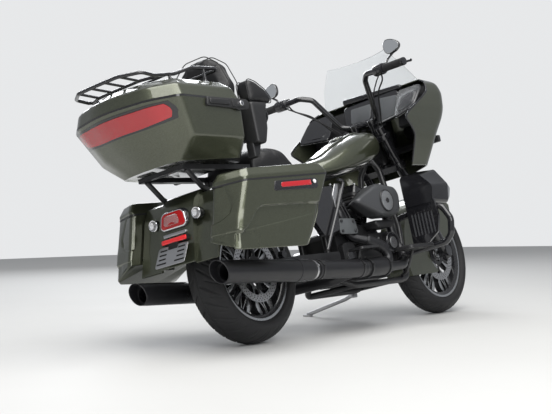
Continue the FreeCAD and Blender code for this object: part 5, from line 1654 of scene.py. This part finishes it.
def controls():
    """Grips, switch housings, levers and mirrors on both ends of the bar."""
    rubber, black, glass, marks = [], [], [], []
    a, b = np.array([366.0, -305, 264]), np.array([502.0, -324, 258])
    d = unit(b - a)
    ribs = [(17, 0), (21.5, 1), (21.5, 8)]
    for k in range(9):
        h = 12 + 12.2 * k
        ribs += [(19.4, h), (19.4, h + 1.6), (20.4, h + 3), (20.4, h + 9.4)]
    rubber.append(skin(turned(ribs + [(20.4, 124), (19, 126)], a, d, 28)))
    black.append(skin(turned([(12, 124), (20.6, 125), (21.4, 130), (20, 137), (4, 139)], a, d,
                             28)))
    c = np.array([300.0, -292, 267])
    house = [(16, -2), (27, 0), (29.4, 5), (29.4, 30), (27.5, 31), (27.5, 33), (29.4, 34),
             (29.4, 58), (27, 64), (16, 66)]
    black.append(skin(turned(house, c, unit(a - c), 28)))
    for h, up in ((14, 0.5), (32, 0.3), (48, 0.6)):
        at = c + unit(a - c) * h + np.array([0, -24, 12 * up])
        marks.append(knob(at, (0.1, -0.9, 0.35 * up), 6.5, 7, 1.5, 14))
    lever = smooth_path([(326, -262, 277), (352, -238, 280), (420, -232, 277), (470, -238, 273),
                         (498, -244, 271)], 40)
    wide = np.interp(np.linspace(0, 1, 40), (0, 0.2, 0.8, 0.95, 1), (7.5, 6.5, 6.0, 8.0, 6.0))
    black.append(sweep(lever, circle(1.0) * (1.0, 0.72), (0, 0, 1), wide))
    black.append(tube([(330, -290, 274), (330, -258, 277)], 11.5, 10, 20))
    tank = outline([(296, -274), (300, -246), (352, -246), (358, -270)], 8, 4)
    black.append(slab(tank, 282, 300, "xy", 3.0))
    black.append(tube([(368, -288, 282), (374, -268, 312), (430, -258, 350)], 5.8, 20, 14))
    black.append(knob((368, -290, 278), (0, 0.1, 1), 10, 14, 3, 16))
    turn = np.linspace(0, 2 * math.pi, 64, endpoint=False)
    oval = np.stack([405 + 50 * np.cos(turn) + 7 * np.cos(2 * turn),
                     372 + 36 * np.sin(turn) - 7 * np.cos(turn + 0.6)], -1)
    rows = [(0.30, -238.0), (0.62, -241.0), (0.84, -247.0), (0.96, -256.0), (1.0, -264.0),
            (0.99, -270.0), (0.93, -272.5), (0.90, -271.0)]
    mid = oval.mean(0)
    cup = np.stack([np.stack([mid[0] + s * (oval[:, 0] - mid[0]), np.full(64, y),
                              mid[1] + s * (oval[:, 1] - mid[1])], -1) for s, y in rows])
    black.append(skin(cup))
    face, faces = slab(mid + 0.905 * (oval - mid), 270.4, 271.8, "xz", 0.6, 0.8)
    glass.append((face * (1, -1, 1), faces))
    return numbered(*(moved(both(parts), BARS) for parts in (rubber, black, glass, marks)))


def cables():
    """Clutch and brake lines from the housings down behind the fairing."""
    out = []
    for s, bow in ((1, 0), (-1, 20)):
        path = [(s * 312, -262, 262), (s * 296, -236, 226), (s * 232, -196 + bow, 178),
                (s * 170, -120, 90), (s * 120, -66, 20), (s * 84, -44, -40)]
        out.append(tube(None, 4.2, n=10, path=smooth_path(path, 60)))
        path = [(s * 306, -282, 240), (s * 270, -262, 214), (s * 206, -212, 160),
                (s * 140, -110, 74), (s * 100, -70, 10), (s * 78, -50, -40)]
        out.append(tube(None, 3.4, n=10, path=smooth_path(path, 60)))
    return moved(out, BARS)


class MOTO_OT_fairing(bpy.types.Operator):
    """Make the fairing, its trim, the dash with its screens, and the headlamps"""
    bl_idname = "moto.fairing"
    bl_label = "Fairing"

    def execute(self, context):
        make("fairing_skin", [fairing_shell()] + fairing_top(), "paint",
             node="fairing_outer", sharp=44)
        make("fairing_trim", fairing_edge(), "black_gloss")
        dress("fairing_inner", "plastic", 1.0)
        make("dash_board", dash(), ["black_gloss", "display", "silver_paint", "black_satin",
                                   "grey_panel"], sharp=34)
        make("head_lamps", lamps_front(),
             ["black_satin", "chrome", "lamp_inside", "clear_lens"],
             node="headlamps", sharp=40)
        return {"FINISHED"}


class MOTO_OT_bars(bpy.types.Operator):
    """Make the handlebar, grips, levers, mirrors and cables"""
    bl_idname = "moto.bars"
    bl_label = "Bars"

    def execute(self, context):
        make("bar", bars(), "black_gloss", "steering", "handlebar")
        make("bar_controls", controls(), ["rubber", "black_gloss", "mirror_glass",
                                          "black_satin"], "steering", "hand_controls")
        make("bar_cables", cables(), "rubber", "steering", sharp=60)
        return {"FINISHED"}
# tank, engine, rack, guard
TANK_REAR, TANK_FRONT = 636.0, 1158.0
TANK_ROWS = (
    # share forward, half width, bottom z, share of the crease, top z
    (0.0, 84.0, 771.0, 0.30, 846.0), (0.06, 102.0, 772.0, 0.30, 858.0),
    (0.237, 134.0, 775.0, 0.32, 888.0), (0.504, 160.0, 790.0, 0.38, 950.0),
    (0.771, 168.0, 816.0, 0.46, 1000.0), (0.924, 160.0, 842.0, 0.50, 1014.0),
    (0.985, 140.0, 862.0, 0.52, 1002.0), (1.0, 118.0, 874.0, 0.54, 990.0),
)


def bezier(points, t):
    """Curve led by three or four control points, each an array over the rows."""
    pts = [np.stack(p, -1)[:, None, :] for p in points]
    while len(pts) > 1:
        pts = [a * (1 - t) + b * t for a, b in zip(pts[:-1], pts[1:])]
    return pts[0]


def tank():
    """Fuel tank: round belly and flatter top that meet in one crisp line along each side."""
    share, half, low, part, top = smooth_path(TANK_ROWS, 60).T
    y = TANK_REAR + share * (TANK_FRONT - TANK_REAR)
    crease = low + part * (top - low)
    t = np.linspace(0, 1, 15)[None, :, None]
    zero = np.zeros_like(half)
    belly = bezier([(zero, low), (1.02 * half, low), (0.99 * half, low + 0.5 * (crease - low)),
                    (half, crease)], t)
    over = bezier([(half, crease), (0.90 * half, crease + 0.80 * (top - crease)),
                   (0.62 * half, top), (zero, top)], t)
    right = np.concatenate([belly, over[:, 1:]], 1)
    left = right[:, -2:0:-1] * (-1, 1)
    ring = np.concatenate([right, left], 1)
    wide = np.broadcast_to(y[:, None], ring.shape[:2])
    return skin(np.stack([ring[..., 0], wide, ring[..., 1]], -1))


def console(grow, lift, low=0.16, high=0.93):
    """Strip along the middle of the tank, following its top."""
    rows = smooth_path(TANK_ROWS, 60)
    s = np.linspace(low, high, 40)
    top = np.interp(s, rows[:, 0], rows[:, 4]) + lift
    w = np.interp(s, (low, 0.45, 0.8, high), (26.0, 40.0, 46.0, 40.0)) + grow
    y = TANK_REAR + s * (TANK_FRONT - TANK_REAR)
    side = np.array([(-1, -16), (-1, -5), (-0.9, -1), (-0.5, 0), (0.5, 0), (0.9, -1), (1, -5),
                     (1, -16)])
    grid = np.stack([side[None, :, 0] * w[:, None], np.repeat(y[:, None], 8, 1),
                     top[:, None] + side[None, :, 1]], -1)
    return skin(grid)


def tank_fittings():
    """Seam round the console, filler cap and its latch."""
    up = (0, -0.35, 0.94)
    return numbered([console(0.0, 8.0), knob((0, 972, 983), up, 33, 12, 4, 40)],
                    [console(3.0, 3.0, 0.15, 0.94), knob((0, 975, 975), up, 40, 17, 3, 40),
                     block(-12, 12, 1060, 1098, 1010, 1026, 3, 6)])


FINS, FIN_PITCH = 8, 12.0
CLEANER_BENDS = (12, 130, 52, 50, 120)


def cleaner_ring(x, grow, tip):
    loop = outline([(tip, 268), (34, 360 + grow), (214 + grow, 330), (200 + grow, 196 - grow),
                    (20, 190 - grow)], CLEANER_BENDS, 9)
    return np.concatenate([np.full((len(loop), 1), float(x)), loop], 1)


def air_cleaner():
    """Pointed cover on its darker backing, with a ribbed round plate in the middle."""
    body = np.stack([cleaner_ring(*row) for row in (
        (168, -6, -120), (170, 3, -134), (230, 3, -190), (242, 0, -190), (251, -5, -186),
        (257, -13, -177), (259, -26, -162))])
    back = np.stack([cleaner_ring(*row) for row in ((122, -26, -80), (124, -16, -92),
                                                    (168, -12, -118), (169, -16, -112))])
    y0, z0, out = 72.0, 264.0, (1, 0, 0)
    at = (255.0, y0, z0)
    ring = turned([(58, 0), (58, 8), (56, 11), (51, 11), (50, 8)], at, out, 64)
    lower = outline([(-10, 176), (188, 176), (170, 138), (30, 132)], [30, 24, 26, 30], 6)
    dark = [skin(back), skin(ring), knob((265, y0, z0), out, 13, 3.4, 1.2, 32),
            tube([(60, 0, 236), (124, 0, 236)], 30, 10, 32), slab(lower, 120, 214, "yz", 12.0)]
    dark += [tube([(86.3, y, z), (152, y, z)], 9, 10, 16) for y, z in ((70, 320), (-60, 290))]
    dark += [knob((254, y, z), out, 5.5, 4, 1, 6) for y, z in ((0, 318), (150, 318), (152, 216))]
    bright = [knob(at, out, 51, 10, 1.5, 64)]
    for rise in (-40, -32, -24, -16, -8, 8, 16, 24, 32, 40):
        reach = math.sqrt(47.0 ** 2 - rise ** 2)
        bright.append(tube([(265, y0 - reach, z0 + rise), (265, y0 + reach, z0 + rise)], 2.3, 10,
                           8))
    return moved(numbered([skin(body)], dark, bright), CRANK)


def on_axis(side, h, x=0.0, across=0.0):
    """A point on a cylinder's axis at height h, shifted to the side and across."""
    a = math.radians(22.5) * side
    axis = np.array([0.0, math.sin(a), math.cos(a)])
    turn = np.array([0.0, math.cos(a), -math.sin(a)])
    return h * axis + across * turn + np.array([x, 0.0, 0.0]), axis


def engine_trim():
    """Machined fin edges, cover bolts, pushrod ends, the grey plate and the round covers."""
    bright, black, out = [], [], (1, 0, 0)
    for side in (-1, 1):
        for k in range(FINS):
            at, axis = on_axis(side, 172 + k * FIN_PITCH)
            bright.append(skin(turned([(79, 1.0), (80.7, 1.2), (80.7, 3.3), (79, 3.5)], at, axis,
                                      72)))
        for x in (-62, 62):
            for across in (-54, 54):
                at, axis = on_axis(side, 405, x, across)
                bright.append(knob(at, axis, 7, 9, 1.5, 6))
        for off in (0, 28):
            low, high = (104, side * (8 + off), 118), (104, side * (104 + off), 312)
            d = unit(np.subtract(high, low))
            for h, r in ((4, 13), (24, 11.5), (180, 12)):
                black.append(knob(np.add(low, d * h), d, r, 12, 2, 20))
    for a in np.radians(60.0 * np.arange(6) + 20):
        bright.append(knob((158, 57 + 118 * math.cos(a), 8 + 84 * math.sin(a)), out, 6, 6, 1, 6))
    for a in np.radians(72.0 * np.arange(5)):
        bright.append(knob((-209, -140 + 64 * math.cos(a), 64 * math.sin(a)), (-1, 0, 0), 6, 4,
                           1, 12))
    plate = outline([(-280, 120), (-140, 116), (-128, 130), (-140, 194), (-274, 198)], 14, 6)
    black += [knob((188, y, z), out, 8, 7, 1.5, 20)
              for y, z in ((-262, 134), (-152, 132), (-158, 180), (-258, 184))]
    black.append(skin(turned([(56, 0), (56, 5), (52, 8), (46, 8), (45, 5)], (185, 156, 58), out,
                             56)))
    black.append(knob((159, -188, 0), out, 35, 4.0, 1.5, 48))
    centre = knob((193, 156, 58), out, 30, 4.5, 1.5, 48)
    return moved(numbered(bright, black, [slab(plate, 184, 188.5, "yz", 1.5)], [centre]), CRANK)


def front_of_bag():
    """Black strut and bright panel between the side cover and the bag."""
    strut = tube([(212, 604, 716), (212, 652, 712), (212, 566, 590), (212, 400, 372)], 8.5, 26,
                 14)
    plate = outline([(586, 700), (640, 700), (590, 610), (560, 560), (548, 640)], 8, 4)
    return numbered([strut], [slab(plate, 196, 201, "yz", 1.5)])


def rack():
    """Luggage rack of bent tubes on the case lid."""
    low, high = 462.0, 504.0
    half = [(0, -705, low + 2), (120, -701, low + 2), (206, -639, low + 2),
            (207, -566, low - 8), (208, -440, low + 6), (212, -320, high),
            (206, -150, high + 8), (180, -128, high + 8), (0, -128, high + 8)]
    parts = both([tube(half, 8, 36, 18)])
    parts.append(tube([(-207, -540, low - 9), (-130, -576, low - 9), (130, -576, low - 9),
                       (207, -540, low - 9)], 7, 60, 16))
    parts.append(tube([(-207, -500, low - 4), (207, -500, low - 4)], 6, 10, 16))
    for x, shift in ((-126, 20), (-42, 0), (42, 0), (126, 10)):
        parts.append(tube([(x, -703 + shift, low + 2), (x, -575, low - 9)], 6, 10, 14))
    for x in (-208, 208):
        for y in (-470, -240):
            top = low + 2 if y < -400 else high + 3
            parts.append(tube([(x, y, 438.5), (x, y, top)], 7, 10, 14))
            parts.append(skin(turned([(16, 0), (16, 4), (9, 8), (7, 14)], (x, y, 438.5),
                                     (0, 0, 1), 24)))
    return moved(parts, TOP)


def guard():
    """Bent tubes round the front of the engine, one on each side."""
    side = [(124, -409, 520), (250, -385, 540), (400, -422, 530), (440, -422, 450),
            (424, -422, 374), (384, -422, 338), (142, -464, 326)]
    parts = both([tube(side, 17, 50, 24)])
    return moved(parts, FRONT)


def board_pads():
    """Ribbed rubber on the floorboards."""
    loop = outline([(240, 66), (342, 88), (342, 294), (240, 312)], 26, 5)
    parts = [slab(loop, 341, 347, "xy", 1.5)]
    for k in range(9):
        y = 92 + 24 * k
        parts.append(block(250, 334, y, y + 11, 346.5, 350, 1.2, 3))
    return moved(both(parts), np.array([0.0, CRANK[1], 0.0]))


class MOTO_OT_tank(bpy.types.Operator):
    """Make the fuel tank with its console, seam and cap"""
    bl_idname = "moto.tank"
    bl_label = "Fuel tank"

    def execute(self, context):
        make("tank_skin", [tank()], "paint", node="fuel_tank", sharp=18)
        make("tank_console", tank_fittings(), ["paint", "black_gloss"],
             sharp=40)
        return {"FINISHED"}


class MOTO_OT_engine(bpy.types.Operator):
    """Make the air cleaner, bolts, fin edges and covers, and the pads of the boards"""
    bl_idname = "moto.engine"
    bl_label = "Engine"

    def execute(self, context):
        make("air_cleaner_cover", air_cleaner(), ["grey_panel", "black_satin", "machined"],
             node="air_cleaner", sharp=34)
        make("engine_trim", engine_trim(), ["machined", "black_gloss", "cover_grey", "brushed"],
             sharp=34)
        make("bag_struts", front_of_bag(), ["black_gloss", "brushed"],
             sharp=34)
        make("board_pads", board_pads(), "rubber", sharp=34)
        return {"FINISHED"}


class MOTO_OT_tubes(bpy.types.Operator):
    """Make the luggage rack and the engine guard"""
    bl_idname = "moto.tubes"
    bl_label = "Rack and guard"

    def execute(self, context):
        make("rack", rack(), "black_gloss", "tour_case_lid", "luggage_rack",
             sharp=50)
        make("guard", guard(), "black_gloss", node="engine_guard",
             sharp=50)
        return {"FINISHED"}


# solids that keep their own shape: finish, edge rounding in mm, nodes
REST = (
    # node, finish, edge rounding
    ("frame", "black_satin", 0.0), ("swingarm", "black_satin", 1.5),
    ("rear_shocks", "black_gloss", 1.0), ("crankcase", "engine_black", 1.5),
    ("cylinders", "engine_black", 0.7), ("engine_covers", "engine_black", 1.2),
    ("rocker_boxes", "black_gloss", 1.2), ("primary_cover", "black_gloss", 1.5),
    ("side_covers", "black_gloss", 1.5), ("rear_fender", "paint", 1.0),
    ("case_mount", "black_satin", 0.8), ("windscreen", "screen", 0.0),
    ("lower_fairings", "black_gloss", 1.2), ("oil_cooler", "engine_black", 0.6),
    ("floorboards", "black_satin", 1.0), ("fork_tubes", "black_gloss", 1.0),
    ("fork_sliders", "black_gloss", 1.0), ("front_fender", "paint", 0.8),
    ("side_stand", "steel", 0.6),
)


class MOTO_OT_hard_parts(bpy.types.Operator):
    """Give the solids that keep their own shape their finish and rounded edges"""
    bl_idname = "moto.hard_parts"
    bl_label = "Hard parts"

    def execute(self, context):
        for node, mat, edge in REST:
            dress(node, mat, edge)
        return {"FINISHED"}


# stage
def lamp(name, spot, aim, size, power, color=(1, 1, 1)):
    data = bpy.data.lights.new(name, "AREA")
    data.shape = "RECTANGLE"
    data.size, data.size_y = size
    data.energy = power
    data.color = color
    obj = bpy.data.objects.new(name, data)
    bpy.context.scene.collection.objects.link(obj)
    back = unit(np.array(spot, float) - np.array(aim, float))
    right = unit(np.cross((0.0, 0.0, 1.0), back)) if abs(back[2]) < 0.99 else np.array((1.0, 0, 0))
    up = np.cross(back, right)
    obj.matrix_world = Matrix([[right[k], up[k], back[k], spot[k]] for k in range(3)]
                              + [[0, 0, 0, 1]])
    return obj


def camera():
    """The photograph's viewing angle, from yaw, pitch and roll fitted to the machine."""
    yaw, pitch, roll = 0.667133, -0.009939, -0.023361
    d = np.array([-math.sin(yaw) * math.cos(pitch), math.cos(yaw) * math.cos(pitch),
                  math.sin(pitch)])
    r = np.array([math.cos(yaw), math.sin(yaw), 0.0])
    u = np.cross(r, d)
    right = math.cos(roll) * r + math.sin(roll) * u
    up = -math.sin(roll) * r + math.cos(roll) * u
    spot = (3.8604, -5.0757, 0.6805)
    data = bpy.data.cameras.new("Camera")
    data.sensor_width = 36.0
    data.lens = 82.32
    data.clip_end = 100.0
    obj = bpy.data.objects.new("Camera", data)
    bpy.context.scene.collection.objects.link(obj)
    obj.matrix_world = Matrix([[right[k], up[k], -d[k], spot[k]] for k in range(3)]
                              + [[0, 0, 0, 1]])
    bpy.context.scene.camera = obj


def world():
    """Soft studio light, with a pale backdrop that the camera and glass see."""
    scene = bpy.context.scene
    scene.view_settings.view_transform = "Standard"
    wd = bpy.data.worlds.new("Studio")
    scene.world = wd
    wd.use_nodes = True
    nodes, links = wd.node_tree.nodes, wd.node_tree.links
    light = nodes["Background"]
    light.inputs["Color"].default_value = (0.92, 0.95, 1.0, 1)
    light.inputs["Strength"].default_value = scene.moto_stage.sky
    back = nodes.new("ShaderNodeBackground")
    back.inputs["Color"].default_value = (*tuple(scene.moto_stage.backdrop), 1)
    back.inputs["Strength"].default_value = 1.0
    path = nodes.new("ShaderNodeLightPath")
    most = nodes.new("ShaderNodeMath")
    most.operation = "MAXIMUM"
    mix = nodes.new("ShaderNodeMixShader")
    links.new(path.outputs["Is Camera Ray"], most.inputs[0])
    links.new(path.outputs["Is Transmission Ray"], most.inputs[1])
    links.new(most.outputs["Value"], mix.inputs["Fac"])
    links.new(light.outputs["Background"], mix.inputs[1])
    links.new(back.outputs["Background"], mix.inputs[2])
    links.new(mix.outputs["Shader"], nodes["World Output"].inputs["Surface"])


def floor():
    """A flat round floor under the machine."""
    t = np.linspace(0, 2 * math.pi, 96, endpoint=False)
    ring = np.stack([9.0 * np.cos(t), 9.0 * np.sin(t), np.zeros(96)], -1)
    mesh = bpy.data.meshes.new("floor")
    mesh.from_pydata(ring.tolist(), [], [list(range(96))])
    mesh.materials.append(MATS["floor"])
    obj = bpy.data.objects.new("floor", mesh)
    bpy.context.scene.collection.objects.link(obj)


class MotoLooks(bpy.types.PropertyGroup):
    """Colours of the painted panels."""
    paint: FloatVectorProperty(name="Paint", description="Base colour of the painted panels",
                               subtype="COLOR", size=3, min=0, max=1,
                               default=(0.048, 0.053, 0.030))
    flake: FloatVectorProperty(name="Flake", description="Colour of the metal flakes",
                               subtype="COLOR", size=3, min=0, max=1,
                               default=(0.13, 0.14, 0.10))
    flake_amount: FloatProperty(name="Flake amount", description="How much the flakes show",
                                subtype="FACTOR", min=0, max=1, default=0.7)


class MotoSizes(bpy.types.PropertyGroup):
    """Sizes of the finer details."""
    tread_depth: FloatProperty(name="Tread depth", description="Depth of the tread in mm",
                               min=1.0, max=7.0, default=4.5)
    tread_pitches: IntProperty(name="Tread pitches", description="Groove pairs round the rear "
                               "tyre; the front one has four more", min=12, max=60, default=26)
    pad_swell: FloatProperty(name="Pad swell", description="How far the pads may swell in mm",
                             min=3.0, max=16.0, default=9.0)


class MotoStage(bpy.types.PropertyGroup):
    """Light and backdrop."""
    sky: FloatProperty(name="Sky", description="Strength of the even light", min=0, max=3,
                       default=0.36)
    key: FloatProperty(name="Key", description="Power of the large lamp", min=0, max=3000,
                       subtype="POWER", default=390.0)
    backdrop: FloatVectorProperty(name="Backdrop", description="Colour behind the machine",
                                  subtype="COLOR", size=3, min=0, max=1,
                                  default=(0.80, 0.81, 0.82))


class MOTO_OT_finishes(bpy.types.Operator):
    """Make the finishes that every piece takes"""
    bl_idname = "moto.finishes"
    bl_label = "Finishes"

    def execute(self, context):
        build_finishes()
        return {"FINISHED"}


class MOTO_OT_stage(bpy.types.Operator):
    """Set the floor, the lamps, the backdrop and the camera"""
    bl_idname = "moto.stage"
    bl_label = "Stage"

    def execute(self, context):
        key = context.scene.moto_stage.key
        camera()
        world()
        floor()
        lamp("Key", (1.5, -1.0, 5.0), (0, 0, 0.6), (5.0, 6.0), key, (1.0, 0.99, 0.97))
        lamp("Side", (5.2, -3.2, 2.6), (0, 0, 0.6), (3.0, 3.0), 0.30 * key)
        lamp("Rim", (-4.2, 3.4, 3.0), (0, 0, 0.8), (3.0, 2.0), 0.30 * key, (0.95, 0.97, 1.0))
        return {"FINISHED"}


class MOTO_PT_panel(bpy.types.Panel):
    """Lists the pieces, their sizes and the stage"""
    bl_idname = "MOTO_PT_panel"
    bl_label = "Motorcycle"
    bl_space_type = "VIEW_3D"
    bl_region_type = "UI"
    bl_category = "Motorcycle"

    def draw(self, context):
        layout = self.layout
        for group_name in ("moto_looks", "moto_sizes", "moto_stage"):
            props = getattr(context.scene, group_name)
            for key in props.__annotations__:
                layout.prop(props, key)
        for cls in OPERATORS:
            layout.operator(cls.bl_idname)


GROUPS = (("moto_looks", MotoLooks), ("moto_sizes", MotoSizes), ("moto_stage", MotoStage))
OPERATORS = (MOTO_OT_finishes,
             MOTO_OT_top_case,
             MOTO_OT_side_cases,
             MOTO_OT_wheels,
             MOTO_OT_exhaust,
             MOTO_OT_tail,
             MOTO_OT_soft_goods,
             MOTO_OT_fairing,
             MOTO_OT_bars,
             MOTO_OT_tank,
             MOTO_OT_engine,
             MOTO_OT_tubes,
             MOTO_OT_hard_parts,
             MOTO_OT_stage,)


def register():
    for _, cls in GROUPS:
        bpy.utils.register_class(cls)
    for cls in OPERATORS:
        bpy.utils.register_class(cls)
    bpy.utils.register_class(MOTO_PT_panel)
    for key, cls in GROUPS:
        setattr(bpy.types.Scene, key, PointerProperty(type=cls))


def unregister():
    for key, _ in GROUPS:
        delattr(bpy.types.Scene, key)
    bpy.utils.unregister_class(MOTO_PT_panel)
    for cls in reversed(OPERATORS):
        bpy.utils.unregister_class(cls)
    for _, cls in reversed(GROUPS):
        bpy.utils.unregister_class(cls)


def main():
    register()
    for cls in OPERATORS:
        family, call = cls.bl_idname.split(".")
        getattr(getattr(bpy.ops, family), call)()
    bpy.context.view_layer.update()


if __name__ == "__main__":
    main()
